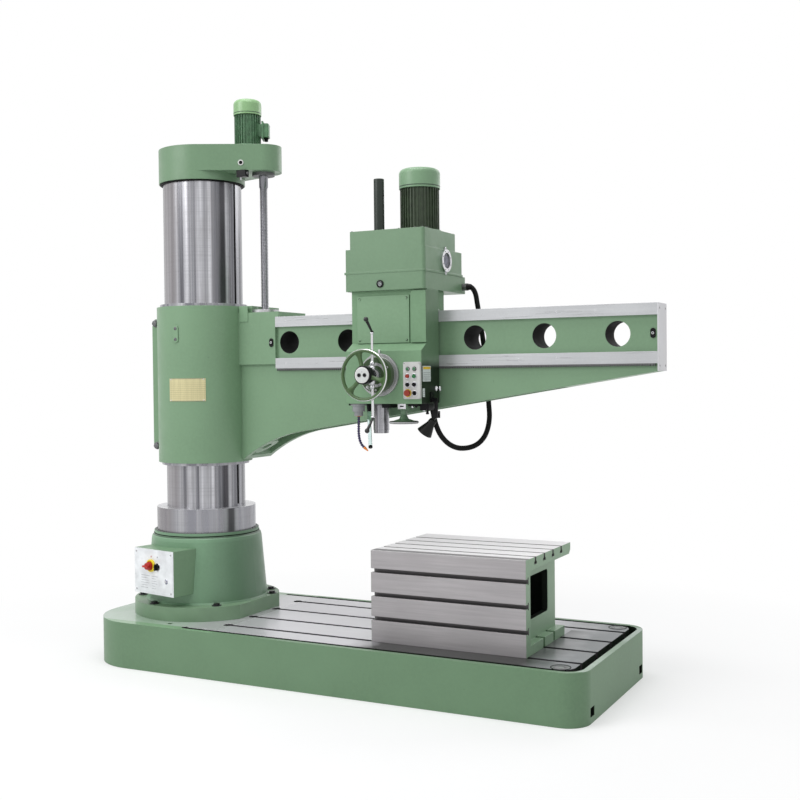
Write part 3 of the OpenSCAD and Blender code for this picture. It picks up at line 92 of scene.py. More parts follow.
class Graph:
    """A material's node tree with short calls for the nodes that are used here."""

    def __init__(self, name, rough=0.5, metal=0.0, color=(0.5, 0.5, 0.5), spec=0.5):
        self.mat = bpy.data.materials.new(name)
        self.mat.use_nodes = True
        self.mat.diffuse_color = (*color, 1)
        self.t = self.mat.node_tree
        self.t.nodes.clear()
        self.out = self.node("OutputMaterial")
        self.b = self.node("BsdfPrincipled", {"Roughness": rough, "Metallic": metal, "Base Color": color,
                                              "Specular IOR Level": spec})
        put(self.t, self.out.inputs[0], self.b.outputs[0])
        self.pos = self.node("TexCoord").outputs["Object"]
        self.x, self.y, self.z = self.node("SeparateXYZ", {0: self.pos}).outputs

    def node(self, kind, inputs=None, **settings):
        return add_node(self.t, kind, inputs, **settings)

    def math(self, op, a, b=0.0, clamp=False):
        return self.node("Math", {0: a, 1: b}, operation=op, use_clamp=clamp).outputs[0]

    def add(self, a, b):
        return self.math("ADD", a, b)

    def sub(self, a, b):
        return self.math("SUBTRACT", a, b)

    def mul(self, a, b):
        return self.math("MULTIPLY", a, b)

    def absolute(self, a):
        return self.math("ABSOLUTE", a)

    def length(self, a, b):
        return self.math("SQRT", self.add(self.mul(a, a), self.mul(b, b)))

    def both(self, first, *masks):
        for mask in masks:
            first = self.mul(first, mask)
        return first

    def either(self, first, *masks):
        for mask in masks:
            first = self.math("MAXIMUM", first, mask)
        return first

    def over(self, value, limit):
        return self.math("GREATER_THAN", value, limit)

    def under(self, value, limit):
        return self.math("LESS_THAN", value, limit)

    def between(self, value, low, high):
        return self.both(self.over(value, low), self.under(value, high))

    def flip(self, mask):
        return self.sub(1.0, mask)

    def stretch(self, *scale):
        return self.node("Mapping", {"Scale": scale, 0: self.pos}).outputs[0]

    def noise(self, scale, detail=3, rough=0.5, vec=None):
        return self.node("TexNoise", {"Scale": scale, "Detail": detail, "Roughness": rough,
                                      "Vector": self.pos if vec is None else vec}).outputs["Fac"]

    def cells(self, scale):
        return self.node("TexVoronoi", {"Scale": scale, "Vector": self.pos}).outputs["Distance"]

    def remap(self, value, a, b, c, d):
        """Takes a..b to c..d, and stays at c or d outside."""
        return self.node("MapRange", {"Value": value, "From Min": a, "From Max": b,
                                      "To Min": c, "To Max": d}).outputs[0]

    def vary(self, scale, detail, low, high):
        """Noise between two values."""
        return self.remap(self.noise(scale, detail), 0.3, 0.7, low, high)

    def mix(self, fac, a, b):
        return self.node("Mix", {"Factor": fac, 6: a, 7: b}, data_type="RGBA").outputs[2]

    def bump(self, height, strength, distance, normal=None):
        inputs = {"Strength": strength, "Distance": distance, "Height": height}
        if normal is not None:
            inputs["Normal"] = normal
        return self.node("Bump", inputs).outputs[0]

    def bevel(self, radius):
        return self.node("Bevel", {"Radius": radius}, samples=4).outputs[0]

    def edge(self, rounded):
        """1 near an edge of the solid and 0 on its flat faces."""
        flat = self.node("NewGeometry").outputs["Normal"]
        same = self.node("VectorMath", {0: rounded, 1: flat}, operation="DOT_PRODUCT").outputs["Value"]
        return self.math("MULTIPLY", self.flip(same), EDGE_GAIN, clamp=True)

    def shade(self, name, value):
        put(self.t, self.b.inputs[name], value)
        return self

    def color(self, value):
        return self.shade("Base Color", value)

    def rough(self, value):
        return self.shade("Roughness", value)

    def metal(self, value):
        return self.shade("Metallic", value)

    def normal(self, value):
        return self.shade("Normal", value)


def tint(c, k):
    return tuple(min(1.0, v * k) for v in c)


def paint_layers(g, rgb, wear=0.5):
    """Cast surface under paint: soft blotches, fine speckle, paler worn edges and orange peel."""
    base = g.mix(g.vary(2.6, 4, 0, 1), tint(rgb, 0.93), tint(rgb, 1.06))
    base = g.mix(g.remap(g.noise(70, 2), 0.35, 0.7, 0, 0.5), base, tint(rgb, 1.08))
    drops = g.over(g.noise(38, 3, 0.7), 0.73)
    base = g.mix(g.mul(drops, 0.35), base, tint(rgb, 0.55))
    rounded = g.bevel(0.0035)
    rub = g.mul(g.edge(rounded), g.remap(g.noise(9, 3), 0.35, 0.65, 0.1, wear))
    base = g.mix(rub, base, tint(rgb, 1.45))
    peel = g.bump(g.noise(230, 2), 0.10, 0.0006, rounded)
    cast = g.bump(g.noise(16, 3), 0.12, 0.003, peel)
    return base, cast


def painted(name, rgb, rough=0.36, wear=0.5):
    g = Graph(name, rough, 0.0, rgb, 0.45)
    base, cast = paint_layers(g, rgb, wear)
    g.color(base).normal(cast)
    g.rough(g.vary(12, 2, rough - 0.06, rough + 0.10))
    return g.mat


def iron_layers(g, rgb, along="x", streak=0.16):
    """Planed bare iron: long tool streaks and cloudy stains."""
    vec = {"x": (2.2, 60, 60), "y": (60, 2.2, 60), "z": (60, 60, 2.2)}[along]
    lines = g.noise(1.6, 4, 0.6, g.stretch(*vec))
    cloud = g.noise(3.4, 4)
    base = g.mix(g.remap(lines, 0.3, 0.7, 0, 1), tint(rgb, 1 - streak), tint(rgb, 1 + streak))
    base = g.mix(g.remap(cloud, 0.35, 0.75, 0, 0.5), base, tint(rgb, 0.80))
    return base, lines


def metal(name, rgb, rough=0.3, along="x", streak=0.12, metallic=0.7, bevel=0.0015):
    g = Graph(name, rough, metallic, rgb)
    base, lines = iron_layers(g, rgb, along, streak)
    rounded = g.bevel(bevel)
    base = g.mix(g.mul(g.edge(rounded), 0.5), base, tint(rgb, 1.4))
    g.color(base).normal(g.bump(lines, 0.08, 0.0006, rounded))
    g.rough(g.remap(lines, 0.3, 0.7, max(0.05, rough - 0.07), rough + 0.1))
    return g.mat


def moulded(name, rgb, rough=0.42, grain=260, bumpy=0.12, sheen=0.4):
    """Moulded plastic or rubber with a fine grain and slight fading."""
    g = Graph(name, rough, 0.0, rgb, sheen)
    base = g.mix(g.vary(14, 3, 0, 1), tint(rgb, 0.85), tint(rgb, 1.15))
    rounded = g.bevel(0.0012)
    base = g.mix(g.mul(g.edge(rounded), 0.35), base, tuple(v * 1.3 + 0.03 for v in rgb))
    g.color(base).normal(g.bump(g.noise(grain, 2), bumpy, 0.0005, rounded))
    g.rough(g.vary(30, 2, rough - 0.08, rough + 0.08))
    return g.mat


GREEN = (0.200, 0.335, 0.200)
DEEP = (0.030, 0.058, 0.034)
CONE = (0.180, 0.325, 0.198)
OLIVE = (0.178, 0.286, 0.176)
PALE = (0.250, 0.400, 0.250)
IRON = (0.420, 0.400, 0.410)
WHEEL_GREEN = (0.054, 0.112, 0.034)
MOTOR_GREEN = (0.114, 0.250, 0.130)

M = {
    "green": painted("green_paint", GREEN),
    "deep": painted("dark_green_paint", DEEP, 0.45, 0.3),
    "guard": painted("guard_paint", (0.012, 0.020, 0.014), 0.3, 0.6),
    "black_steel": metal("blackened_steel", (0.045, 0.047, 0.050), 0.38, "z", 0.25, 0.6, 0.0008),
    "thread": metal("screw_steel", (0.24, 0.24, 0.26), 0.26, "z", 0.12, 0.8, 0.0004),
    "wheel": painted("wheel_paint", WHEEL_GREEN, 0.32, 0.7),
    "cowl": painted("bright_green_paint", (0.246, 0.423, 0.205), 0.3, 0.4),
    "bright": metal("bright_steel", (0.72, 0.72, 0.75), 0.16, "z", 0.06, 0.95, 0.0008),
    "steel": metal("machined_steel", (0.55, 0.55, 0.57), 0.28, "x", 0.10, 0.8, 0.001),
    "dull": metal("dull_iron", (0.16, 0.16, 0.165), 0.5, "x", 0.2, 0.5, 0.001),
    "black": moulded("black_plastic", (0.006, 0.006, 0.007), 0.36, sheen=0.16),
    "rubber": moulded("black_rubber", (0.007, 0.007, 0.007), 0.6, 400, 0.2, 0.12),
    "void": moulded("shadow_black", (0.004, 0.004, 0.004), 0.8),
    "white": moulded("white_enamel", (0.78, 0.78, 0.76), 0.35),
    "red": moulded("red_plastic", (0.48, 0.022, 0.016), 0.3),
    "yellow": moulded("yellow_plastic", (0.75, 0.50, 0.03), 0.35),
    "bright_yellow": moulded("bright_yellow_plastic", (0.86, 0.66, 0.02), 0.35),
    "greenb": moulded("green_plastic", (0.03, 0.17, 0.06), 0.3),
    "label": moulded("label_enamel", (0.62, 0.68, 0.66), 0.45),
    "dull_red": moulded("dull_red_plastic", (0.33, 0.040, 0.022), 0.35),
    "orange": moulded("orange_plastic", (0.80, 0.23, 0.03), 0.35),
    "violet": moulded("grey_violet_plastic", (0.20, 0.20, 0.30), 0.4),
    "grey": moulded("grey_plastic", (0.30, 0.31, 0.32), 0.4),
    "blue": moulded("blue_plastic", (0.02, 0.04, 0.16), 0.35)}


def brass_plate():
    """Engraved brass-coloured plate with blank ruled lines and no words."""
    g = Graph("brass_plate", 0.38, 0.35, (0.47, 0.43, 0.22))
    base, _ = iron_layers(g, (0.66, 0.60, 0.34), "z", 0.12)
    row = g.math("FRACT", g.mul(g.z, 1000 / 10.2))
    rule = g.both(g.under(row, 0.10), g.between(g.z, 1.412, 1.500))
    base = g.mix(g.mul(rule, 0.55), base, (0.10, 0.09, 0.04))
    g.color(base).normal(g.bump(rule, 0.15, 0.0004, g.bevel(0.0008)))
    return g.mat


M["brass"] = brass_plate()


def glass(name, rgb, rough=0.03):
    g = Graph(name, rough, 0.0, rgb)
    g.shade("IOR", 1.46).shade("Transmission Weight", 1.0)
    g.color(g.mix(g.vary(22, 2, 0, 1), tint(rgb, 0.96), tint(rgb, 1.04)))
    g.normal(g.bump(g.noise(45, 1), 0.02, 0.0004))
    return g.mat


M["glass"] = glass("clear_glass", (0.90, 0.95, 0.93))
M["tube"] = glass("clear_hose", (0.70, 0.86, 0.84), 0.12)


# Mesh building
def front(x, y, z):
    """Local x to the right, y up, z towards the viewer in front of the machine."""
    return Matrix(((1, 0, 0, x), (0, 0, -1, y), (0, 1, 0, z), (0, 0, 0, 1)))


def rightward(x, y, z):
    """Local x to the back, y up, z to the right."""
    return Matrix(((0, 0, 1, x), (1, 0, 0, y), (0, 1, 0, z), (0, 0, 0, 1)))


def down(x, y, z):
    return Matrix(((1, 0, 0, x), (0, -1, 0, y), (0, 0, -1, z), (0, 0, 0, 1)))


def at(x, y, z):
    return Matrix.Translation((x, y, z))


def aimed(point, direction, upward=(0, 0, 1)):
    """Local z along the direction, local y as near as may be to upward."""
    zz = Vector(direction).normalized()
    xx = Vector(upward).cross(zz).normalized()
    yy = zz.cross(xx)
    return Matrix(((xx.x, yy.x, zz.x, point[0]), (xx.y, yy.y, zz.y, point[1]),
                   (xx.z, yy.z, zz.z, point[2]), (0, 0, 0, 1)))


def spun(degrees, axis="Z"):
    return Matrix.Rotation(math.radians(degrees), 4, axis)


def polar(radius, degrees, x=0.0, y=0.0):
    """A point on a circle about (x, y)."""
    a = math.radians(degrees)
    return x + radius * math.cos(a), y + radius * math.sin(a)


def arcs(corners, radius, n):
    """Quarter circles of n steps about four corners, anticlockwise from the one at the upper right."""
    return [polar(radius, 90 * q + 90 * i / n, *corner) for q,
            corner in enumerate(corners) for i in range(n + 1)]


class Piece:
    """One piece of the scene, built in millimetres from turned, bevelled and swept parts."""

    def __init__(self, name, body, slot):
        self.name, self.body, self.slot_name = name, body, slot
        self.bm = bmesh.new()
        self.mats = []

    def index(self, mat):
        """The slot of a material, which is given as itself or by its name in M."""
        mat = M.get(mat, mat)
        if mat not in self.mats:
            self.mats.append(mat)
        return self.mats.index(mat)

    def turned(self, profile, mat, place=None, seg=48, start=0.0, sweep=360.0):
        """Turns (radius, height) points about the local z axis."""
        place = place or Matrix()
        k = self.index(mat)
        full = sweep >= 360
        n = seg if full else seg + 1
        rings = []
        for r, h in profile:
            points = [(0, 0)] if r < ON_AXIS else [polar(r, start + sweep * i / seg) for i in range(n)]
            rings.append([self.bm.verts.new(place @ Vector((x, y, h))) for x, y in points])
        for a, b in zip(rings, rings[1:]):
            for i in range(seg):
                j = (i + 1) % n
                if len(a) == 1 and len(b) == 1:
                    continue
                if len(a) == 1:
                    f = [a[0], b[i], b[j]]
                elif len(b) == 1:
                    f = [a[i], a[j], b[0]]
                else:
                    f = [a[i], a[j], b[j], b[i]]
                face = self.bm.faces.new(f)
                face.material_index = k
                face.smooth = True
        return self

    def prism(self, outline, z0, z1, mat, place=None, bevel=0.0, smooth=False, seg=2):
        """Raises an outline of (x, y) points from z0 to z1, with its edges rounded."""
        place = place or Matrix()
        k = self.index(mat)
        bm = bmesh.new()
        low = [bm.verts.new((x, y, z0)) for x, y in outline]
        high = [bm.verts.new((x, y, z1)) for x, y in outline]
        n = len(outline)
        bm.faces.new(low[::-1])
        bm.faces.new(high)
        for i in range(n):
            j = (i + 1) % n
            bm.faces.new((low[i], low[j], high[j], high[i]))
        if bevel > 0:
            sharp = [e for e in bm.edges if e.calc_face_angle(0) > 0.6]
            bmesh.ops.bevel(bm, geom=sharp, offset=bevel, segments=seg, profile=0.5, affect="EDGES")
        bmesh.ops.recalc_face_normals(bm, faces=bm.faces)
        table = {v: self.bm.verts.new(place @ v.co) for v in bm.verts}
        for f in bm.faces:
            try:
                new = self.bm.faces.new([table[v] for v in f.verts])
            except ValueError:
                continue
            new.material_index = k
            new.smooth = smooth
        bm.free()
        return self

    def block(self, lo, hi, mat, bevel=1.5, place=None):
        return self.prism([(lo[0], lo[1]), (hi[0], lo[1]), (hi[0], hi[1]), (lo[0], hi[1])],
                          lo[2], hi[2], mat, place, bevel)

    def oblong(self, w, h, z0, z1, mat, place=None, bevel=1.0, n=10):
        """A flat bar with round ends, w by h, from z0 to z1."""
        r = min(w, h) / 2
        x, y = w / 2 - r, h / 2 - r
        pts = []
        for p in arcs(((x, y), (-x, y), (-x, -y), (x, -y)), r, n):
            if not pts or math.dist(p, pts[-1]) > SAME_POINT:
                pts.append(p)
        if math.dist(pts[0], pts[-1]) < SAME_POINT:
            pts.pop()
        return self.prism(pts, z0, z1, mat, place, bevel)

    def rounded(self, lo, hi, radius, z0, z1, mat, place=None, bevel=1.0):
        left, low, far, high = lo[0] + radius, lo[1] + radius, hi[0] - radius, hi[1] - radius
        pts = arcs(((far, high), (left, high), (left, low), (far, low)), radius, 6)
        return self.prism(pts, z0, z1, mat, place, bevel)

    def hexagon(self, radius, z0, z1, mat, place=None, turn=0.0, bevel=0.8):
        return self.prism([polar(radius, 60 * i + turn) for i in range(6)], z0, z1, mat, place, bevel)

    def swept(self, pts, radius, mat, seg=16):
        """A round bar along points. radius is a number or a list, one for each point."""
        k = self.index(mat)
        pts = [Vector(p) for p in pts]
        radii = radius if isinstance(radius, (list, tuple)) else [radius] * len(pts)
        tangent = (pts[1] - pts[0]).normalized()
        side = tangent.orthogonal().normalized()
        rings = []
        for i, p in enumerate(pts):
            a = pts[max(i - 1, 0)]
            b = pts[min(i + 1, len(pts) - 1)]
            t = (b - a).normalized()
            side = (side - t * side.dot(t)).normalized()
            other = t.cross(side)
            ring = []
            for j in range(seg):
                w = 2 * math.pi * j / seg
                ring.append(self.bm.verts.new(p + (side * math.cos(w) + other * math.sin(w)) * radii[i]))
            rings.append(ring)
        for a, b in zip(rings, rings[1:]):
            for j in range(seg):
                f = self.bm.faces.new((a[j], a[(j + 1) % seg], b[(j + 1) % seg], b[j]))
                f.material_index = k
                f.smooth = True
        for ring in (rings[0][::-1], rings[-1]):
            self.bm.faces.new(ring).material_index = k
        return self

    def socket_screw(self, radius, height, place, mat="steel"):
        """A round-headed screw with a hexagon socket, standing from z 0."""
        self.turned([(radius, 0), (radius, height - 1), (radius - 1, height), (radius * 0.56, height),
                     (radius * 0.5, height - 0.4)], mat, place, 24)
        self.hexagon(radius * 0.52, 0, height - 0.5, "void", place, 0, 0)
        return self

    def slot_screw(self, radius, height, place, mat="steel", turn=25.0):
        self.turned([(radius, 0), (radius, height * 0.5), (radius * 0.8, height * 0.85),
                     (radius * 0.4, height), (0, height)], mat, place, 20)
        spin = place @ spun(turn)
        self.block((-radius * 0.75, -radius * 0.12, height * 0.6),
                   (radius * 0.75, radius * 0.12, height * 1.04), "void", 0, spin)
        return self

    def bolt(self, radius, height, place, mat="steel", turn=0.0, washer=True):
        """A hexagon bolt head on its washer."""
        base = 0
        if washer:
            self.turned([(radius * 1.25, 0), (radius * 1.25, 2.0), (radius * 1.18, 2.6), (0, 2.6)], mat,
                        place, 32)
            base = 2.6
        self.hexagon(radius, base, base + height, mat, place, turn, radius * 0.09)
        self.turned([(radius * 0.80, base + height - 0.6), (radius * 0.80, base + height + 0.4),
                     (radius * 0.74, base + height + 0.8), (0, base + height + 0.8)], mat, place, 24)
        return self

    def done(self, *nodes):
        me = bpy.data.meshes.new(self.name)
        bmesh.ops.scale(self.bm, vec=(MM, MM, MM), verts=self.bm.verts)
        bmesh.ops.recalc_face_normals(self.bm, faces=self.bm.faces)
        self.bm.to_mesh(me)
        self.bm.free()
        ob = bpy.data.objects.new(self.name, me)
        bpy.context.scene.collection.objects.link(ob)
        for m in self.mats:
            me.materials.append(m)
        if nodes:
            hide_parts(*nodes)
        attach(ob, self.body)
        return ob


TREES = {}


def surface(node, point, direction):
    """Where a ray from a point meets a node of the CAD model, in millimetres, and the face's normal."""
    if node not in TREES:
        ob = bpy.data.objects[node]
        TREES[node] = BVHTree.FromPolygons([v.co.copy() for v in ob.data.vertices],
                                           [tuple(p.vertices) for p in ob.data.polygons])
    hit, normal, _, _ = TREES[node].ray_cast(Vector(point) * MM, Vector(direction).normalized())
    if hit is None:
        raise RuntimeError("no face of " + node + " there")
    if normal.dot(Vector(direction)) > 0:
        normal = -normal
    return hit / MM, normal


def on(node, point, direction):
    """Local z out of the face that the ray meets."""
    return aimed(*surface(node, point, direction))


def smooth_path(points, step):
    """A curve through the points, sampled every step millimetres."""
    pts = [Vector(p) for p in points]
    fine = []
    for i in range(len(pts) - 1):
        p0 = pts[max(i - 1, 0)]
        p1, p2 = pts[i], pts[i + 1]
        p3 = pts[min(i + 2, len(pts) - 1)]
        for k in range(24):
            t = k / 24
            fine.append(0.5 * ((2 * p1) + (p2 - p0) * t + (2 * p0 - 5 * p1 + 4 * p2 - p3) * t * t
                               + (3 * p1 - p0 - 3 * p2 + p3) * t ** 3))
    fine.append(pts[-1])
    total = sum((b - a).length for a, b in zip(fine, fine[1:]))
    count = max(2, round(total / step))
    out, walked, i = [fine[0]], 0.0, 0
    for k in range(1, count):
        want = total * k / count
        while walked + (fine[i + 1] - fine[i]).length < want:
            walked += (fine[i + 1] - fine[i]).length
            i += 1
        seg = (fine[i + 1] - fine[i]).length
        out.append(fine[i].lerp(fine[i + 1], (want - walked) / seg))
    out.append(fine[-1])
    return out, total


# Conduit
ROUTE = [(1486, 268, 1985), (1506, 268, 1985), (1525, 267, 1968), (1538, 264, 1940), (1548, 259, 1895),
         (1560, 254, 1840), (1574, 250, 1760), (1587, 250, 1670), (1598, 250, 1570), (1605, 250, 1480),
         (1610, 250, 1391), (1615, 248, 1313), (1610, 236, 1252), (1597, 212, 1205), (1574, 176, 1172),
         (1543, 130, 1157), (1511, 76, 1160), (1486, 22, 1184), (1467, -24, 1226), (1453, -50, 1278),
         (1443, -60, 1336), (1443, -60, 1366)]
SHEATH_R, GROOVE_R = 13.4, 12.5
path, run = smooth_path(ROUTE, 1.9)
conduit = Piece("conduit_sheath", "head", "black_plastic")
conduit.swept(path, [SHEATH_R if i % 3 else GROOVE_R for i in range(len(path))], "rubber", 20)
conduit = conduit.done("conduit")
strain = Piece("conduit_strain_reliefs", "head", "black_plastic")
for place in (rightward(1486, 268, 1985), down(1443, -60, 1366)):
    strain.hexagon(21, -8, 3, "dull", place, 0, 1.2)
    strain.turned([(18.5, 3), (18.5, 7), (17.4, 8), (16.9, 12), (16.2, 13), (15.6, 18), (14.7, 24),
                   (13.6, 25), (13.0, 25)], "black", place, 28)
strain = strain.done()


# Clear drain hose under the head
DRAIN = [(1078, -60, 1366), (1078, -60, 1340), (1079, -62, 1312), (1084, -69, 1280), (1092, -81, 1244),
         (1101, -95, 1212), (1110, -109, 1186), (1117, -120, 1166)]
drain_path, drain_run = smooth_path(DRAIN, 4)
drain = Piece("drain_hose", "head", "hose_plastic")
drain.swept(drain_path, 9.5, "tube", 20)
drain = drain.done()
drain_end = Piece("drain_hose_end", "head", "hose_plastic")
drain_end.turned([(9.6, -9), (10.6, -8), (10.6, 1), (9.6, 2), (6.5, 2), (6.5, -6)], "black",
                 aimed(drain_path[-1], drain_path[-1] - drain_path[-3]), 28)
drain_end = drain_end.done()


# Materials on the CAD nodes
def wear(node, mat):
    ob = bpy.data.objects[node]
    ob.data.materials.clear()
    ob.data.materials.append(M.get(mat, mat))


def base_mat():
    g = Graph("base_paint_and_iron", 0.4, 0.0, GREEN, 0.22)
    green, cast = paint_layers(g, tint(GREEN, 0.76))
    top_level = 0.2388
    top = g.over(g.z, top_level)
    pale = g.mix(g.vary(5, 3, 0, 1), tint(GREEN, 1.02), tint(GREEN, 1.22))
    iron, lines = iron_layers(g, (0.60, 0.59, 0.62), "x", 0.06)
    # Iron darker and bluish towards the plate's right end: a painted dark reflection.
    far = g.remap(g.add(g.x, g.mul(g.noise(5, 4), 0.5)), 2.05, 2.50, 0.0, 0.92)
    iron = g.mix(far, iron, (0.10, 0.115, 0.12))
    # Near-black strips in front of and beside the box table: a painted shadow of the table.
    drift = g.mul(g.noise(7, 3), 0.16)
    foot = g.both(g.remap(g.add(g.x, drift), 1.24, 1.36, 0.0, 1.0),
                  g.remap(g.add(g.x, drift), 2.12, 2.30, 1.0, 0.0), g.under(g.y, -0.345))
    beside = g.both(g.over(g.x, 2.0375), g.remap(g.add(g.x, drift), 2.10, 2.26, 0.85, 0.0),
                    g.remap(g.add(g.y, drift), -0.38, -0.26, 0.0, 1.0), g.under(g.y, 0.28))
    painted_table_shadow = g.mul(g.both(top, g.either(foot, beside)), 0.96)
    iron = g.mix(painted_table_shadow, iron, (0.010, 0.012, 0.009))
    ay = g.absolute(g.y)
    plate = g.both(top, g.under(ay, 0.4715), g.under(g.x, 2.2925),
                   g.remap(g.add(g.x, g.mul(g.noise(4, 3), 0.12)), 0.22, 0.34, 0.0, 1.0))
    cx = g.math("MAXIMUM", g.sub(g.x, 2.25), 0.0)
    cy = g.math("MAXIMUM", g.sub(ay, 0.415), 0.0)
    corner = g.length(cx, cy)
    # Slots and moat inside the rim painted dark: painted shade in the recesses.
    inner = g.both(g.under(g.z, top_level), g.over(g.z, 0.15), g.under(ay, 0.4985),
                   g.between(g.x, 0.15, 2.334), g.under(corner, 0.094))
    moat = g.either(g.over(ay, 0.4705), g.over(g.x, 2.2915))
    worn = g.both(top, g.under(ay, 0.4715), g.remap(g.noise(3.2, 4), 0.35, 0.60, 0.25, 0.85))
    bed = g.both(top, g.under(g.x, 0.404))
    c = g.mix(bed, green, pale)
    c = g.mix(worn, c, (0.44, 0.52, 0.46))
    # Walls of the holes in the right end painted near black: painted shade.
    lift = g.both(g.between(g.x, 2.18, 2.3594), g.between(g.z, 0.0285, 0.0715), g.between(ay, 0.355, 0.43),
                  g.under(corner, 0.1085))
    c = g.mix(plate, c, iron)
    c = g.mix(inner, c, g.mix(moat, (0.055, 0.052, 0.055), (0.012, 0.020, 0.013)))
    c = g.mix(lift, c, (0.008, 0.010, 0.008))
    g.color(c).normal(g.bump(g.both(lines, plate), 0.05, 0.0006, cast))
    g.metal(g.both(plate, g.flip(painted_table_shadow), 0.35))
    g.rough(g.sub(0.40, g.add(g.mul(bed, 0.24), g.mul(plate, 0.10))))
    return g.mat


def table_mat():
    g = Graph("table_paint_and_iron", 0.4, 0.0, IRON)
    green, cast = paint_layers(g, tint(PALE, 0.95))
    iron, lines = iron_layers(g, IRON, "x", 0.10)
    # Top face mixed most of the way to near white: a painted glare.
    painted_glare_top = g.mix(0.75, iron, (0.86, 0.85, 0.86))
    ends = g.either(g.under(g.x, 1.2385), g.over(g.x, 2.0375))
    front_plate = g.either(g.both(g.under(g.y, -0.2955), g.over(g.z, 0.2995)), g.under(g.y, -0.3485))
    top = g.over(g.z, 0.6305)
    bare = g.both(g.either(front_plate, top), g.flip(ends))
    # Slots in the front and top painted dark: painted shade in the slots.
    groove = g.both(g.either(g.both(front_plate, g.over(g.y, -0.3480)),
                             g.both(top, g.under(g.z, 0.6840), g.over(g.y, -0.3490))), g.flip(ends))
    # Inside of the hollow table painted near black: painted shade.
    hollow = g.both(g.between(g.x, 1.2795, 1.9965), g.between(g.y, -0.2945, 0.1495),
                    g.between(g.z, 0.25, 0.6295))
    c = g.mix(bare, green, iron)
    c = g.mix(g.both(g.over(g.z, 0.6842), g.flip(ends)), c, painted_glare_top)
    c = g.mix(groove, c, tint(IRON, 0.32))
    c = g.mix(hollow, c, (0.010, 0.013, 0.010))
    g.color(c).normal(g.bump(g.both(lines, bare), 0.05, 0.0006, cast))
    g.metal(g.mul(bare, 0.4))
    g.rough(g.remap(g.both(bare, lines), 0, 1, 0.38, 0.50))
    return g.mat


def pedestal_mat():
    g = Graph("pedestal_paint", 0.38, 0.0, CONE)
    cone, cast = paint_layers(g, CONE)
    flange = g.mix(g.vary(6, 3, 0, 1), tint(OLIVE, 0.9), tint(OLIVE, 1.15))
    groove = g.between(g.z, 0.6640, 0.6685)
    # The cone darker towards its right side: painted shade.
    painted_right_shade = g.both(g.remap(g.x, 0.16, 0.31, 0.0, 0.45), g.over(g.z, 0.3155))
    cone = g.mix(painted_right_shade, cone, tint(CONE, 0.22))
    c = g.mix(g.under(g.z, 0.3155), cone, flange)
    c = g.mix(g.mul(groove, 0.8), c, DEEP)
    g.color(c).normal(cast)
    g.rough(g.vary(12, 2, 0.32, 0.46))
    return g.mat


def column_mat(name="ground_steel", fineness=3.1, ax=0.0, ay=0.0, dark=0.13, light=0.70, painted_shade_bands=True):
    """Oiled, slightly stained ground steel with long painted reflection bands from top to bottom."""
    g = Graph(name, 0.24, 0.75, (0.40, 0.40, 0.43))
    angle = g.math("ARCTAN2", g.sub(g.y, ay), g.sub(g.x, ax))
    ring = g.node("CombineXYZ", {0: g.mul(g.math("COSINE", angle), 5.2), 1: g.mul(g.math("SINE", angle), 5.2),
                                 2: g.mul(g.z, 0.10)}).outputs[0]
    # Long bands and finer streaks along the axis: painted reflections.
    reflection_bands = g.noise(0.30 * fineness, 4, 0.55, ring)
    fine = g.noise(4.4 * fineness, 3, 0.6, ring)
    turns = g.noise(1.0, 2, 0.5, g.stretch(3, 3, 420))
    stain = g.noise(5, 4, 0.6, g.stretch(3, 3, 0.7))
    facing = g.node("SeparateXYZ", {0: g.node("NewGeometry").outputs["Normal"]})
    flat = g.over(g.absolute(facing.outputs[2]), 0.7)
    c = g.mix(g.remap(reflection_bands, 0.40, 0.60, 0, 1), (dark, dark, dark * 1.12), (light, light, light * 1.05))
    c = g.mix(g.remap(fine, 0.42, 0.60, 0, 0.55), c, (0.30, 0.30, 0.325))
    rings = g.noise(1.0, 2, 0.5, g.stretch(1, 1, 130))
    c = g.mix(g.remap(rings, 0.45, 0.75, 0, 0.25), c, (0.17, 0.17, 0.18))
    c = g.mix(g.remap(stain, 0.5, 0.75, 0, 0.35), c, (0.22, 0.21, 0.21))
    # Broad darker bands at set angles round the axis: painted shade.
    if painted_shade_bands:
        for middle, inner, outer, share, rgb in (
                (-1.95, 0.20, 0.40, 0.60, (0.235, 0.215, 0.22)),
                (-2.50, 0.06, 0.28, 0.75, (0.050, 0.048, 0.050)),
                (-0.42, 0.05, 0.11, 0.85, (0.055, 0.052, 0.060))):
            c = g.mix(g.remap(g.absolute(g.sub(angle, middle)), inner, outer, share, 0.0), c, rgb)
    # Faces that look up or down painted lighter: a painted highlight.
    c = g.mix(flat, c, (0.66, 0.66, 0.68))
    key = g.both(g.over(g.x, 0.19), g.between(g.y, -0.0082, 0.0082), g.between(g.z, 0.829, 2.591),
                 g.under(g.x, 0.2141))
    c = g.mix(key, c, (0.03, 0.03, 0.03))
    g.color(c).normal(g.bump(turns, 0.04, 0.0003, g.bevel(0.001)))
    g.rough(g.remap(reflection_bands, 0.3, 0.7, 0.20, 0.38))
    return g.mat


def guide_mat():
    g = Graph("scraped_guideway", 0.3, 0.5, (0.55, 0.56, 0.58))
    base, lines = iron_layers(g, (0.56, 0.57, 0.585), "x", 0.06)
    scrape = g.cells(120)
    c = g.mix(g.remap(scrape, 0.2, 0.6, 0.0, 0.18), base, (0.44, 0.45, 0.46))
    g.color(c).normal(g.bump(scrape, 0.05, 0.0002, g.bevel(0.0012)))
    g.rough(g.remap(lines, 0.3, 0.7, 0.25, 0.42))
    return g.mat


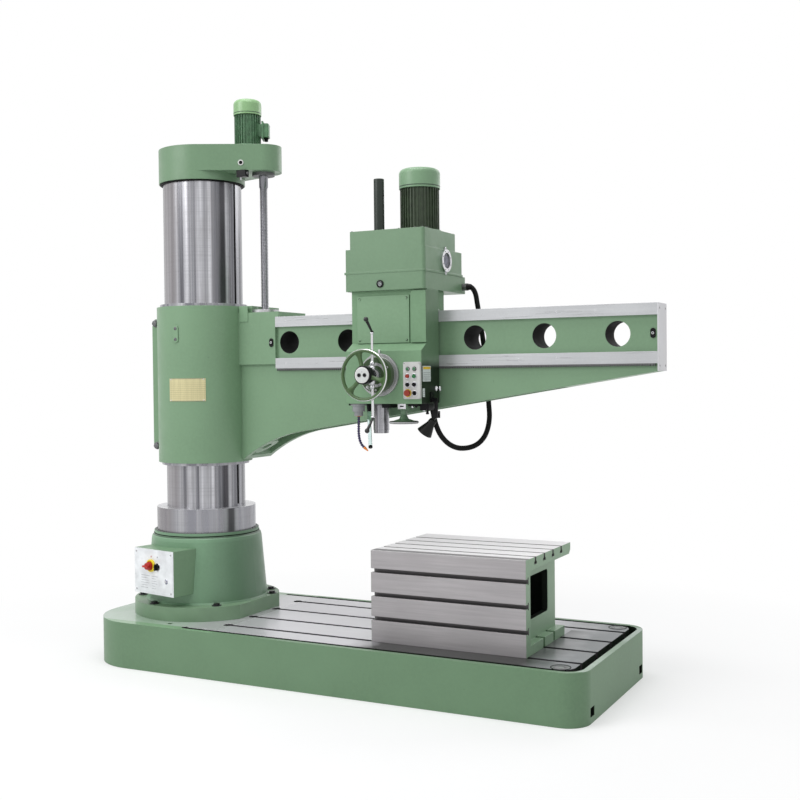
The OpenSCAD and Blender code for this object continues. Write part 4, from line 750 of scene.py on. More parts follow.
def arm_mat():
    g = Graph("arm_paint", 0.38, 0.0, GREEN)
    green, cast = paint_layers(g, tint(GREEN, 0.93))
    r2 = g.add(g.mul(g.x, g.x), g.mul(g.y, g.y))
    # Bore of the sleeve painted near black: painted shade inside the bore.
    bore = g.both(g.under(r2, 0.2325 ** 2), g.between(g.z, 1.065, 1.915))
    c = g.mix(bore, green, (0.012, 0.018, 0.012))
    # Round holes in the web painted near black: painted shade inside the holes.
    step = g.sub(g.math("FRACT", g.math("DIVIDE", g.sub(g.x, 0.572 - 0.18), 0.36)), 0.5)
    hx = g.mul(step, 0.36)
    hz = g.sub(g.z, 1.7115)
    hole = g.length(hx, hz)
    drilled = g.both(g.under(hole, 0.0606), g.over(g.x, 0.49), g.over(g.y, -0.0142))
    c = g.mix(drilled, c, (0.005, 0.006, 0.005))
    g.color(c).normal(cast)
    g.rough(g.add(g.vary(12, 2, 0.32, 0.46), g.mul(drilled, 0.5)))
    return g.mat


def head_mat():
    g = Graph("head_paint", 0.36, 0.0, GREEN, 0.2)
    green, cast = paint_layers(g, GREEN)
    way = g.both(g.over(g.y, -0.0345), g.under(g.y, 0.005), g.under(g.z, 1.8502))
    c = g.mix(way, green, (0.05, 0.05, 0.05))
    # The underside painted darker: painted shade.
    bottom = g.both(g.under(g.z, 1.3905), g.over(g.z, 1.3895))
    c = g.mix(g.mul(bottom, 0.5), c, DEEP)
    # The right side painted darker, and its lower part near black: painted shade.
    side = g.over(g.x, 1.4632)
    low = g.both(side, g.remap(g.add(g.z, g.mul(g.noise(9, 3), 0.03)), 1.58, 1.62, 1.0, 0.0))
    c = g.mix(g.mul(side, 0.45), c, tint(GREEN, 0.25))
    c = g.mix(g.mul(low, 0.97), c, (0.008, 0.016, 0.007))
    g.color(c).normal(cast)
    g.rough(g.vary(12, 2, 0.30, 0.44))
    return g.mat


def motor_mat(name, body, fins, z0, z1):
    """Painted motor: the band of fins between z0 and z1 is painted darker, as painted shade in their grooves.
    """
    g = Graph(name, 0.38, 0.0, body)
    coat, cast = paint_layers(g, body)
    # Darker colour over the fins: painted shade.
    dark = g.mix(g.vary(40, 2, 0, 1), tint(fins, 0.8), tint(fins, 1.3))
    c = g.mix(g.between(g.z, z0, z1), coat, dark)
    g.color(c).normal(cast)
    return g.mat


def from_dial(g):
    return g.sub(g.x, DIAL_X * MM), g.sub(g.z, DIAL_Z * MM)


def dial_mat():
    """Feed dial: bright graduated rim, dark green drum and a bright graduated ring on its face."""
    g = Graph("feed_dial", 0.3, 0.0, DEEP)
    dx, dz = from_dial(g)
    r = g.length(dx, dz)
    a = g.math("ARCTAN2", dz, dx)
    deg = g.mul(a, 180 / math.pi)
    rim = g.over(g.y, -0.2450)
    tick = g.under(g.math("FRACT", g.math("DIVIDE", g.add(deg, 360), 3.0)), 0.16)
    ring = g.both(g.between(r, 0.046, 0.060), g.under(g.y, -0.2765))
    green, cast = paint_layers(g, tint(WHEEL_GREEN, 0.62), 0.6)
    silver = g.mix(g.mul(tick, 0.85), (0.50, 0.50, 0.51), (0.03, 0.03, 0.03))
    bright = g.either(rim, ring)
    c = g.mix(bright, green, silver)
    g.color(c).normal(cast)
    g.metal(g.mul(bright, 0.6))
    return g.mat


def lever_mat():
    """Chromed feed levers with black grips and balls at their ends."""
    g = Graph("feed_levers", 0.14, 0.9, (0.7, 0.7, 0.72))
    dz = g.absolute(g.sub(g.z, DIAL_Z * MM))
    grip = g.over(dz, 0.2065)
    chrome, lines = iron_layers(g, (0.74, 0.74, 0.76), "z", 0.05)
    c = g.mix(grip, chrome, (0.012, 0.012, 0.013))
    g.color(c).metal(g.mul(g.flip(grip), 0.95))
    g.rough(g.remap(grip, 0, 1, 0.14, 0.30))
    g.normal(g.bump(lines, 0.03, 0.0003, g.bevel(0.001)))
    return g.mat


def wheel_mat():
    """Traverse wheel: polished rim, green spokes, a black hub with a white face."""
    g = Graph("traverse_wheel", 0.2, 0.0, GREEN)
    dx, dz = from_dial(g)
    r = g.length(dx, dz)
    rim = g.either(g.over(r, 0.1270), g.both(g.over(r, 0.1225), g.under(g.y, -0.3975)))
    hub = g.under(r, 0.0355)
    face = g.both(hub, g.under(g.y, -0.4135))
    chrome, _ = iron_layers(g, (0.74, 0.74, 0.75), "x", 0.04)
    green, cast = paint_layers(g, WHEEL_GREEN, 0.6)
    c = g.mix(rim, green, chrome)
    c = g.mix(hub, c, (0.02, 0.022, 0.02))
    c = g.mix(face, c, (0.66, 0.68, 0.66))
    g.color(c).normal(cast)
    g.metal(g.mul(rim, 0.9))
    g.rough(g.remap(rim, 0, 1, 0.34, 0.15))
    return g.mat


def fastener_mat():
    """Black bolts on the flange and dull iron caps in the plate."""
    g = Graph("base_fasteners", 0.4, 0.5, (0.2, 0.2, 0.2))
    iron, lines = iron_layers(g, (0.22, 0.25, 0.23), "x", 0.2)
    c = g.mix(g.over(g.z, 0.30), iron, (0.018, 0.018, 0.019))
    g.color(c).normal(g.bump(lines, 0.05, 0.0004, g.bevel(0.0015)))
    g.rough(g.vary(40, 2, 0.34, 0.5))
    return g.mat


def hose_mat():
    """Jointed hose: dark violet links with a painted highlight on their shoulders."""
    g = Graph("hose_links", 0.3, 0.0, (0.05, 0.04, 0.10))
    base = g.mix(g.vary(60, 2, 0, 1), (0.018, 0.010, 0.060), (0.030, 0.018, 0.095))
    rounded = g.bevel(0.0012)
    # Lighter rounded shoulders: a painted highlight.
    base = g.mix(g.mul(g.edge(rounded), 0.6), base, (0.10, 0.09, 0.20))
    g.color(base).normal(g.bump(g.noise(300, 2), 0.06, 0.0003, rounded))
    g.rough(g.vary(30, 2, 0.24, 0.38))
    return g.mat


def fine_feed_mat():
    g = Graph("fine_feed_wheel", 0.3, 0.0, GREEN)
    green, cast = paint_layers(g, tint(GREEN, 0.8))
    r = g.length(g.sub(g.x, 1.324), g.sub(g.y, -0.150))
    c = g.mix(g.over(r, 0.0665), green, (0.02, 0.024, 0.02))
    c = g.mix(g.both(g.over(r, 0.0728), g.over(g.z, 1.2925)), c, (0.55, 0.55, 0.56))
    g.color(c).normal(cast)
    return g.mat


QUILL_AXIS = SPINDLE_X * MM, SPINDLE_Y * MM
gearbox_paint = painted("gearbox_paint", tint(GREEN, 0.80))
for node, look in {
        "base_casting": base_mat(), "box_table": table_mat(), "pedestal": pedestal_mat(),
        "base_fasteners": fastener_mat(), "outer_column": column_mat(),
        "clamp_ring": column_mat("turned_ring", 2.6, 0.0, 0.0, 0.27, 0.46),
        "column_wipers": column_mat("wiper_ring", 2.6, 0.0, 0.0, 0.20, 0.52, False),
        "top_cap": painted("cap_paint", tint(GREEN, 0.80)),
        "lift_motor": motor_mat("lift_motor_paint", MOTOR_GREEN, (0.085, 0.19, 0.098), 2.796, 2.955),
        "arm_casting": arm_mat(), "arm_guideways": guide_mat(),
        "arm_end_plate": metal("end_plate_steel", (0.66, 0.66, 0.68), 0.34, "z", 0.05, 0.4),
        "head_casting": head_mat(), "front_cover": painted("front_cover_paint", tint(GREEN, 1.02)),
        "gearbox_case": gearbox_paint, "gearbox_cover": gearbox_paint,
        "head_motor": motor_mat("head_motor_paint", tint(GREEN, 0.95), (0.045, 0.070, 0.036), 2.266, 2.474),
        "control_panel": moulded("panel_face", (0.62, 0.62, 0.60), 0.4),
        "work_lamp": moulded("lamp_enamel", (0.008, 0.009, 0.008), 0.34, sheen=0.2),
        "traverse_wheel": wheel_mat(), "feed_dial": dial_mat(), "feed_levers": lever_mat(),
        "fine_feed_wheel": fine_feed_mat(), "quill": column_mat("quill_steel", 8.0, *QUILL_AXIS),
        "spindle": column_mat("spindle_steel", 8.0, *QUILL_AXIS),
        "switch_box": painted("switch_box_paint", tint(GREEN, 0.9)),
        "switch_plate": moulded("switch_plate_face", (0.80, 0.82, 0.84), 0.4)}.items():
    wear(node, look)
for key, nodes in {
        "steel": ("inner_column", "column_bearings", "lift_rotor", "lift_nut", "head_rotor",
                  "intermediate_gears", "spindle_gear"),
        "black": ("lamp_bracket", "raise_button", "lower_button", "clamp_selector", "clamp_button",
                  "release_button", "pump_switch"),
        "dull": ("screw_bearing", "traverse_rack", "conduit_glands"),
        "bright": ("sight_ring", "traverse_shaft"), "dull_red": ("stop_button", "emergency_stop"),
        "cowl": ("lift_motor_cowl",), "green": ("head_motor_cowl",), "brass": ("rating_plate",),
        "glass": ("sight_lens",), "guard": ("spindle_guard",), "white": ("panel_lamps",),
        "grey": ("coolant_block",), "greenb": ("start_button",), "red": ("main_switch",)}.items():
    for node in nodes:
        wear(node, key)

# Lift screw
screw = Piece("lift_screw_thread", "lift_screw", "ground_steel")
PITCH_MM, TURN_SEG = 8.0, 22
SCREW_X, SCREW_Y = 375, 50
THREAD_LOW, THREAD_HIGH = 1196, 2556
rows = []
count = int((THREAD_HIGH - THREAD_LOW) / PITCH_MM * TURN_SEG)
for i in range(count):
    a = 2 * math.pi * i / TURN_SEG
    z = THREAD_LOW + PITCH_MM * i / TURN_SEG
    rows.append([screw.bm.verts.new((SCREW_X + r * math.cos(a), SCREW_Y + r * math.sin(a), z + h * PITCH_MM))
                 for r, h in ((17.6, 0.0), (17.6, 0.34), (20.9, 0.50), (20.9, 0.84))])
for i in range(count - 1):
    for j in range(3):
        screw.bm.faces.new((rows[i][j], rows[i + 1][j], rows[i + 1][j + 1], rows[i][j + 1]))
    if i + 1 + TURN_SEG < count:
        screw.bm.faces.new((rows[i][3], rows[i + 1][3], rows[i + 1 + TURN_SEG][0], rows[i + TURN_SEG][0]))
for f in screw.bm.faces:
    f.smooth = True
screw.turned([(0, 1190), (17, 1190), (19, 1192), (19, 1206), (17.4, 1208), (17.4, 2550), (20.9, 2551),
              (20.9, 2560), (23.9, 2561), (23.9, 2688), (22, 2690), (0, 2690)], "thread",
             at(SCREW_X, SCREW_Y, 0), 40)
screw.done("lift_screw")

# Base
fit = Piece("base_fittings", "base", "machined_iron")
for a in (26, 47, 105, 152, 208, 255, 314):
    fit.turned([(17, 315.1), (26, 315.1), (26, 317.6), (25, 318.4), (17, 318.4)], "black_steel",
               at(*polar(361, a), 0), 32)
for y in (-434, 434):
    fit.turned([(42.4, 239.6), (46, 239.6), (46, 241), (45, 241.8), (42.4, 241.2)], "rubber",
               at(2230, y, 0), 48)
    fit.turned([(14, 238), (15, 239.4), (30, 239.5), (34, 239.2)], "dull", at(2230, y, 0), 36)
fit.done()
lip = Piece("pedestal_seal", "base", "black_rubber")
lip.turned([(288.4, 671), (290.4, 671.6), (291, 673.5), (290.4, 675.4), (288.4, 676)], "rubber", None, 120)
lip.turned([(276, 690.1), (284, 690.1), (284, 692.5), (276, 692.5)], "dull", None, 96)
lip.done()

# Switch box: local x along its face, y up, z out of it
BOX = at(-56, -394, 495) @ spun(-12) @ front(0, 0, 0)
sb = Piece("switch_box_fittings", "base", "black_plastic")
for x, y in ((-142, 102), (142, 102), (-142, -102), (142, -102)):
    sb.slot_screw(5.5, 2.5, BOX @ at(x, y, 3.0), "steel", 40 + x)
sb.turned([(33, 3.0), (33, 12), (31, 14), (23.5, 14), (23.5, 3)], "bright_yellow", BOX @ at(-18, 33, 0), 48)
sb.turned([(22, 3.0), (22, 4.2), (21, 4.8), (17.4, 4.8), (17.4, 3)], "bright",
          BOX @ at(33, 29, 0), 32, -120, 240)
sb.turned([(0, 5.4), (12, 5.4), (13.6, 4.6), (13.6, 3.0)], "bright", BOX @ at(104, -42, 0), 32)
sb.turned([(7.6, 5.5), (12.2, 5.6), (12.2, 6.0), (7.6, 6.0)], "blue", BOX @ at(104, -42, 0), 28, -110, 220)
sb.block((-1.2, -5.5, 5.3), (1.2, 5.5, 6.1), "void", 0, BOX @ at(104, -42, 0))
for i in range(6):
    for x0, x1 in ((-104, -32), (-16, 34)):
        sb.rounded((x0, -24 - 13 * i), (x1 - (i * 17) % 23, -22.4 - 13 * i), 0.7, 2.9, 3.5, "grey", BOX, 0.1)
for x in (-18, 33):
    sb.prism([(x - 5, 78), (x + 5, 78), (x, 87)], 2.9, 3.5, "red" if x < 0 else "grey", BOX, 0.1)
sb.done()

# Column and cap
cap = Piece("cap_fittings", "column", "black_plastic")
cap.turned([(216.2, 2588), (226, 2588), (231, 2591), (231, 2594.6), (216.2, 2594.6)], "rubber", None, 120)
cap_hit, cap_n = surface("top_cap", (331, -260, 2700), (0, 1, 0))
spot = aimed((325, cap_hit.y - (325 - cap_hit.x) * cap_n.x / cap_n.y, 2680), cap_n)
cap.turned([(9.2, -1), (15, 0), (15, 2.6), (13.6, 3.4), (10, 3.4)], "white", spot, 36)
cap.hexagon(9.4, 0, 3.0, "black", spot, 15, 0.8)
cap.block((300, -96, 2604), (356, -62, 2639.6), "black", 2.5)
cap.turned([(5, 0), (5, 14), (4, 15), (0, 15)], "steel", down(316, -79, 2604), 20)
cap.turned([(7, 0), (7, 5), (0, 5)], "dull", rightward(356, -79, 2622), 20)
LM = (283.49, 37.8)  # axis of the lift motor
for i in range(4):
    cap.bolt(7, 6, at(*polar(90, 45 + 90 * i + 7.6, *LM), 2780.1), "dull")
cap.turned([(79, 2794.2), (76, 2796.5), (73, 2797)], "deep", at(*LM, 0), 64)
T = at(*LM, 0) @ spun(27.6)
cap.rounded((-32, 2838), (32, 2910), 6, 114.2, 118.2, painted("terminal_lid_paint", MOTOR_GREEN),
            T @ rightward(0, 0, 0), 1.6)
for y, z in ((-26, 2844), (26, 2844), (-26, 2904), (26, 2904)):
    cap.slot_screw(3.2, 2.0, T @ rightward(118.2, y, z))
cap.turned([(13, 0), (13, 6), (10, 7), (10, 18), (8, 20), (0, 20)], "black", T @ down(102, 0, 2837), 24)
for i in range(16):
    cap.oblong(24, 4.6, 0, 1.4, "void", at(*LM, 3038.6) @ spun(22.5 * i) @ at(42, 0, 0), 0.3, 4)
cap.turned([(76.1, 2966), (76.3, 2967), (76.3, 2969), (76.1, 2970)], "deep", at(*LM, 0), 72)
cap.done()

# Arm
arm = Piece("arm_fittings", "arm", "green_paint")
pad = aimed((*polar(258, -89), 1764), (*polar(1, -89), 0))
arm.oblong(34, 96, -3, 4.5, "green", pad, 1.6)
for y in (-29, 29):
    arm.slot_screw(9, 3.5, pad @ at(0, y, 4.5), "dull", 60)
arm.rounded((262, 1828), (319, 1914), 3, 0, 3.2, "green",
            on("arm_casting", (290, -600, 1870), (0, 1, 0)) @ at(-290, -1870, 0), 0.9)
for z in (1149, 1832):
    arm.bolt(17, 12, front(-247, -115, z), "dull", 10)
    arm.bolt(17, 12, Matrix(((-1, 0, 0, -247), (0, 0, 1, 115), (0, 1, 0, z), (0, 0, 0, 1))), "dull", 40)
for x in (469, 2538):
    spot = on("arm_casting", (x + 14, -600, 1711.5), (0, 1, 0)) @ at(-14, 0, 0)
    arm.oblong(24, 46, 0, 5, "black", spot, 1.2)
    arm.socket_screw(6.4, 5, spot @ at(0, 0, 5))
for y in (-11, 91):
    for z in (1562, 1826):
        arm.turned([(5.8, -6), (5.8, -1.2), (4.8, -0.4), (2.6, -0.4), (2.6, -3), (0, -3)], "dull",
                   rightward(2568, y, z), 24)
for i in range(11):
    x = 560 + 190 * i
    for z in (1822, 1601):
        arm.socket_screw(6.5, 1.2, front(x, -33.0, z) @ at(0, 0, -1.02))
PLATE_R, PLATE_TURN = 259.6, -76
for u in (-97, 97):
    for z in (1407, 1518):
        a = math.radians(PLATE_TURN) + u / PLATE_R
        arm.turned([(3.4, 0), (3.1, 1.0), (1.8, 1.9), (0, 2.2)], "bright",
                   aimed((PLATE_R * math.cos(a), PLATE_R * math.sin(a), z), (math.cos(a), math.sin(a), 0)),
                   16)
for z0, z1 in ((1402.2, 1403.6), (1521.4, 1522.8)):
    arm.turned([(259.7, z0), (260.1, z0), (260.1, z1), (259.7, z1)], "dull", None, 60, PLATE_TURN - 22, 44)
arm.done()

# Head
SIGHT = (48, 2103.5)  # y and z of the sight glass
SIDE = rightward(HEAD_SIDE, 0, 0)
SIGHT_FRONT = front(1220, -190, 1983)
hd = Piece("head_fittings", "head", "machined_iron")
for x, z in ((1092, 1704), (1356, 1704), (1092, 1911), (1356, 1911)):
    hd.socket_screw(5.4, 2.4, front(x, -173, z), "black_steel")
hd.turned([(9.2, -2), (17, 0), (19, 1), (19, 5), (16.5, 7.5), (13.5, 7.5), (13.5, 4)], "black",
          SIGHT_FRONT, 36)
hd.turned([(13.4, 4.5), (12, 6.3), (8, 7.6), (4, 8.2), (0, 8.4)], "glass", SIGHT_FRONT, 32)
hd.turned([(0, 2.6), (13.2, 2.6)], "grey", SIGHT_FRONT, 24)
for a in (90, 270):
    lug = rightward(HEAD_SIDE - 0.1, *SIGHT) @ spun(a - 90)
    hd.prism([(-13, 50), (-7, 66), (0, 71), (7, 66), (13, 50)], 0, 4.5, "bright", lug, 1.0)
    hd.socket_screw(4, 2.4, lug @ at(0, 60, 4.5))
for i in range(8):
    place = rightward(1476, *polar(48, 45 * i + 22.5, *SIGHT))
    hd.turned([(2.6, 0), (2.6, 1.2), (0, 1.8)], "dull", place, 12)
hd.turned([(0, 0.6), (38, 0.6), (38, 0.2)], "violet", rightward(HEAD_SIDE + 0.1, *SIGHT), 40)
hd.block((-1, -2, 0.8), (1, 26, 1.8), "black", 0.2,
         rightward(HEAD_SIDE + 0.1, *SIGHT) @ Matrix.Rotation(0.5, 4, "Z"))
hd.turned([(4.6, 1851), (4.6, 1948), (3.8, 1950.6), (0, 1950.6)], "bright", at(1452, -19, 0), 24)
hd.hexagon(8, 1850.6, 1857, "steel", at(1452, -19, 0), 0, 0.8)
hd.rounded((-221, 1498), (-133, 1574), 2, 0, 1.2, "label", SIDE, 0.3)
hd.rounded((-217, 1558), (-137, 1570), 2, 1.0, 1.6, "yellow", SIDE, 0.2)
for i in range(5):
    hd.rounded((-214, 1505 + 9 * i), (-140, 1507 + 9 * i), 0.8, 1.0, 1.5, "grey", SIDE, 0.1)
hd.rounded((-223, 1423), (-200, 1465), 2, 0, 1.2, "label", SIDE, 0.3)
for i in range(3):
    hd.rounded((-220, 1430 + 10 * i), (-203, 1432 + 10 * i), 0.8, 1.0, 1.5, "grey", SIDE, 0.1)
for y, z in ((-216, 1515), (-132, 1515), (-216, 1569), (-132, 1569)):
    hd.turned([(2.4, 1.2), (2.2, 1.9), (0, 2.4)], "steel", rightward(HEAD_SIDE, y, z), 12)
hd.turned([(14, 0), (14, 3), (9, 5), (8, 14), (13, 17), (14, 22), (12, 26), (0, 27)], "bright",
          rightward(HEAD_SIDE, -66, 1462), 32)
hd.block((1016, -160, 1379), (1096, -40, HEAD_UNDER), "black", 1.2)
hd.block((1216, -176, 1368), (1258, -40, HEAD_UNDER), "black", 1.2)
hd.bolt(8, 5, down(1050, -150, 1379), "dull")
hd.block((1414, -152, 1356), (1461, -92, HEAD_UNDER), "black", 2.0)
hd.bolt(7, 5, down(1428, -134, 1356), "bright", 10, False)
hd.turned([(6, 0), (6, 10), (8, 12), (8, 18), (5, 20), (0, 20)], "black", down(1446, -134, 1356), 20)
hd.block((1356, -166, 1377), (1412, -138, HEAD_UNDER), "black", 1.2)
hd.turned([(5, 0), (5, 8), (3, 10), (0, 10)], "bright", down(1372, -152, 1377), 20)
hd.turned([(7, 0), (7, 5), (5, 7), (0, 7)], "black", down(1394, -152, 1377), 20)
hd.turned([(49, 1389.9), (49, 1384), (46, 1380), (41.2, 1379), (41.2, 1389.9)], "dull",
          at(SPINDLE_X, SPINDLE_Y, 0), 64)
for i in range(6):
    hd.socket_screw(3.2, 2.6, down(*polar(45.5, 60 * i + 15, SPINDLE_X, SPINDLE_Y), 1380.4), "dull")
hd.done()
nose = Piece("bearing_block_face", "head", "machined_iron")
nose.rounded((1302, 1363), (1346, 1389), 2, 0, 2.2, "bright", front(0, -170, 0), 0.6)
nose.oblong(22, 6, 2.0, 2.6, "void", front(1324, -170, 1376), 0.2, 5)
nose.done()
top = Piece("gearbox_fittings", "head", "machined_iron")
for x in (1056, 1140, 1230, 1320, 1410, 1450):
    for y in (-178, 176):
        if not (1204 > x > 1136 and y < 0):
            top.socket_screw(5, 3.4, at(x, y, 2250.1), "dull")
top.turned([(26, 2515), (24, 2516.6), (10, 2517.6), (0, 2518)], "deep", at(SPINDLE_X, SPINDLE_Y, 0), 40)
for i in range(4):
    top.socket_screw(3.4, 3, at(*polar(31, 90 * i + 45, SPINDLE_X, SPINDLE_Y), 2256.0), "dull")
HM = (1319.43, 60.24)  # axis of the head motor
for i in range(4):
    top.bolt(8, 5, at(*polar(101, 45 + 90 * i, *HM), 2264.1), "dull", 10)
for i in range(20):
    top.oblong(34, 5.4, 0, 1.6, "void", at(*HM, 2573.4) @ spun(18 * i) @ at(62, 0, 0), 0.3, 4)
top.turned([(105.1, 2484), (105.5, 2485), (105.5, 2488), (105.1, 2489)], "deep", at(*HM, 0), 72)
top.done()

# Control panel
panel = Piece("panel_fittings", "head", "black_plastic")
for x, z in ((1379, 1420), (1457, 1420), (1379, 1588), (1457, 1588)):
    panel.slot_screw(3.2, 1.6, front(x, PANEL_Y, z), "steel", x)
for x in (1398, 1434):
    for z in (1525, 1484):
        panel.turned([(9.3, 0), (9.3, 3.6), (10.4, 4.4), (13, 4.4), (13.6, 3.4), (13.6, 0)], "bright",
                     front(x, PANEL_Y, z), 32)
    panel.turned([(8.1, 0), (8.1, 2.4), (10.6, 2.4), (11, 1.6), (11, 0)], "black",
                 front(x, PANEL_Y, 1560), 28)
    panel.turned([(0, 9.2), (3, 8.6), (6, 7), (7.4, 5.1)], "greenb", front(x, PANEL_Y, 1560), 28)
panel.turned([(15.5, 0), (15.5, 3.2), (16.2, 4), (18.4, 3.6), (19.4, 2), (19.4, 0)], "yellow",
             front(1398, PANEL_Y, 1443), 40)
panel.turned([(10.4, 0), (10.4, 2.6), (13, 2.6), (13.6, 1.6), (13.6, 0)], "bright",
             front(1434, PANEL_Y, 1443), 32)
panel.done()

# Coolant
M["hose"] = hose_mat()
hose = Piece("coolant_hose_links", "head", "hose_plastic")
turns = [0, 0, 2, 2, 0, -2, -4, -6, -8, -12, -16, -20, -24, -26]
LINK, NECK_R, BULGE = 12, 4.2, 3.0
HOSE_Y = -190
x, z, lean = 1090.0, 1328.0, 0.0
spine, radii, knuckles = [], [], []
for i, turn in enumerate(turns):
    knuckles.append((x * MM, -0.190, z * MM))
    lean += turn * 0.45
    step = Vector((-math.sin(math.radians(lean)), 0, -math.cos(math.radians(lean))))
    for j in range(8):
        u = j / 8
        bulge = max(0.0, 1 - ((u - 0.40) / 0.42) ** 2)
        spine.append(Vector((x, HOSE_Y, z)) + step * LINK * u)
        radii.append(NECK_R + BULGE * math.sqrt(bulge))
    x, z = x + LINK * step.x, z + LINK * step.z
spine.append(Vector((x, HOSE_Y, z)))
radii.append(NECK_R)
hose.swept(spine, radii, "hose", 18)
knuckles.append((x * MM, -0.190, z * MM))
hose = hose.done("coolant_hose")
tip = Piece("coolant_nozzle", "head", "hose_plastic")
tip.turned([(5.2, -2), (7.2, 0), (7.2, 5), (6, 7), (5.6, 12), (3.4, 22), (2.9, 26), (1.9, 26), (1.9, 18)],
           "orange", aimed((x, HOSE_Y, z), step, (0, 1, 0)), 24)
tip = tip.done()
cool = Piece("coolant_fittings", "head", "hose_plastic")
cool.turned([(41.5, 1390), (41.5, 1387), (40.2, 1385.5)], "dull", at(1090, HOSE_Y, 0), 48)
cool.turned([(15, 1341), (17.5, 1339), (18.5, 1334), (17.5, 1328), (14, 1326), (12.4, 1326)], "orange",
            at(1090, HOSE_Y, 0), 32)
cool.turned([(13, 1390), (13, 1376), (12, 1372), (11, 1366), (10.2, 1350), (9.8, 1346)], "black",
            at(1078, -60, 0), 28)
cool.done()

# Work lamp
lamp = Piece("lamp_reflector", "lamp", "black_plastic")
LAMP_LEAN = math.radians(38)  # from straight down, towards the column
L = aimed((1488, -122, 1328), (-math.sin(LAMP_LEAN), 0, -math.cos(LAMP_LEAN)), (0, 1, 0))
lamp.turned([(37.6, 103.5), (34, 92), (28, 74), (20, 58), (10, 50), (0, 48)], "bright", L, 48)
lamp.turned([(9, 51), (9.5, 58), (12, 66), (12.4, 72), (9, 79), (0, 82)], "white", L, 28)
lamp.done()

# Feed and traverse
feed = Piece("feed_fittings", "feed", "bright_steel")
AX = front(DIAL_X, 0, DIAL_Z)
LEVER_Y = -309.3
for s in (1, -1):
    ball = front(DIAL_X, LEVER_Y, DIAL_Z + s * 57)
    feed.turned([(0, 12.5), (6, 11.2), (10.4, 7), (12, 1), (11.4, -4), (8.6, -9), (0, -11)],
                "bright", ball, 24)
    turn = at(DIAL_X, LEVER_Y, DIAL_Z) @ (Matrix() if s > 0 else spun(180, "Y"))
    feed.turned([(7.3, 26), (13, 27), (13.6, 29), (13.6, 40), (12, 43), (8, 44), (7.3, 44)],
                "bright", turn, 28)
    feed.turned([(7.3, 199), (9.4, 200), (9.8, 206), (8.6, 207)], "bright", turn, 24)
for i in range(3):
    feed.socket_screw(5, 3.2, AX @ at(*polar(74, 30 + 120 * i), 277.4))
feed.rounded((-15, -7), (15, 7), 2, 277.4, 278.6, "bright", AX @ spun(-122) @ at(74, 0, 0) @ spun(90), 0.3)
feed.turned([(32.4, 292), (34, 293), (34, 297), (32.4, 298)], "deep", AX, 48)
feed.done()
pointer = Piece("dial_pointer", "head", "bright_steel")
pointer.prism([(-5, 106.4), (5, 106.4), (5, 124), (-5, 124)], 232.1, 240, "bright", AX, 0.8)
pointer.prism([(-1, 106.6), (1, 106.6), (1, 116), (-1, 116)], 240, 240.5, "void", AX, 0)
pointer.done()
wheel = Piece("wheel_fittings", "traverse", "black_plastic")
for angle in (105, 225, 345):
    outline = [(33, -16), (42, -10.5), (56, -8.4), (80, -8.4), (94, -11), (104, -16), (112, -25), (116, -33)]
    outline += [polar(120.5, w) for w in range(-14, 15, 4)]
    outline += [(x, -y) for x, y in outline[7::-1]]
    wheel.prism(outline, 388.5, 399.5, "wheel", AX @ spun(angle), 2.6, True, 3)
wheel.turned([(34.1, 371), (43.5, 371), (45, 373), (45, 408), (43.6, 411), (38.2, 412), (34.1, 412)],
             "black", AX, 56)
wheel.turned([(33.9, 412), (37.6, 412), (38.4, 412.8), (38.4, 415.2), (37.4, 416.2), (33.9, 416.2)],
             "white", AX, 56)
wheel.turned([(34.3, 377), (35.6, 378), (35.6, 382), (34.3, 383)], "bright", AX, 48)
for x in (-15, 15):
    wheel.turned([(7.3, 416), (7.3, 418), (8.2, 418.6), (9.8, 418.2), (10.2, 416)], "dull",
                 AX @ at(x, 0, 0), 24)
wheel.turned([(0, 417.4), (3, 417.2), (3.6, 416)], "steel", AX @ at(0, 17, 0), 20)
wheel.done()

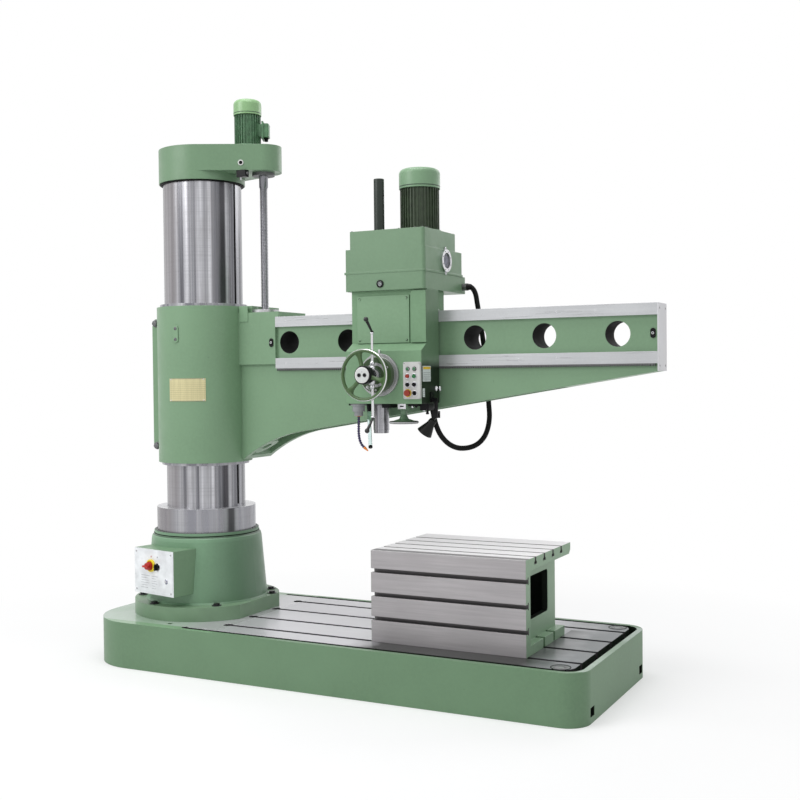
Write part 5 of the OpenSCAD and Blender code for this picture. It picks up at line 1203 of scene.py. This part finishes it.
# Floor, light and background
g = Graph("floor", 0.9, 0.0, (0.86, 0.86, 0.86), 0.1)
g.color(g.mix(g.vary(0.8, 3, 0, 1), (0.93, 0.93, 0.93), (0.96, 0.96, 0.96)))
rays = g.node("LightPath").outputs
glow = g.node("Emission", {0: (1, 1, 1)})
fade = g.remap(g.length(g.sub(g.x, 1.0), g.y), 1.2, 3.2, 0.35, 1.0)
seen = g.either(rays["Is Camera Ray"], rays["Is Glossy Ray"], rays["Is Transmission Ray"])
blend = g.node("MixShader", {0: g.both(seen, fade), 1: g.b.outputs[0], 2: glow.outputs[0]})
put(g.t, g.out.inputs[0], blend.outputs[0])
me = bpy.data.meshes.new("floor")
n, size = 24, 14.0
FLOOR_Z = -0.0005  # just under the base, so that the two faces don't lie in one plane
verts = [(size * (2 * i / n - 1) + 1, size * (2 * j / n - 1), FLOOR_Z)
         for j in range(n + 1) for i in range(n + 1)]
faces = [(j * (n + 1) + i, j * (n + 1) + i + 1, (j + 1) * (n + 1) + i + 1, (j + 1) * (n + 1) + i)
         for j in range(n) for i in range(n)]
me.from_pydata(verts, [], faces)
me.materials.append(g.mat)
floor = bpy.data.objects.new("floor", me)
bpy.context.scene.collection.objects.link(floor)

world = bpy.data.worlds.new("studio")
bpy.context.scene.world = world
world.use_nodes = True
tree = world.node_tree
tree.nodes.clear()
rays = add_node(tree, "LightPath").outputs
soft = add_node(tree, "Background", {0: (0.97, 0.98, 1.0), 1: 0.52})
white = add_node(tree, "Background", {0: (1, 1, 1), 1: 1.0})
seen = rays["Is Camera Ray"]
for kind in ("Is Glossy Ray", "Is Transmission Ray"):
    seen = add_node(tree, "Math", {0: seen, 1: rays[kind]}, operation="MAXIMUM").outputs[0]
sky = add_node(tree, "MixShader", {0: seen, 1: soft.outputs[0], 2: white.outputs[0]})
add_node(tree, "OutputWorld", {0: sky.outputs[0]})


def area(name, place, target, w, h, power):
    data = bpy.data.lights.new(name, "AREA")
    data.shape = "RECTANGLE"
    data.size, data.size_y, data.energy = w, h, power
    ob = bpy.data.objects.new(name, data)
    ob.location = place
    ob.rotation_mode = "QUATERNION"
    ob.rotation_quaternion = (Vector(target) - Vector(place)).to_track_quat("-Z", "Y")
    bpy.context.scene.collection.objects.link(ob)
    ob.visible_camera = False


area("key", (-2.6, -5.4, 5.2), (1.0, 0, 1.3), 4.0, 3.0, 205)
area("top", (1.0, -0.8, 6.6), (1.0, 0, 1.0), 4.5, 3.0, 175)
area("rear", (2.5, 5.5, 4.5), (1.0, 0, 1.2), 4.0, 3.0, 70)

bpy.context.scene.view_settings.view_transform = "Standard"
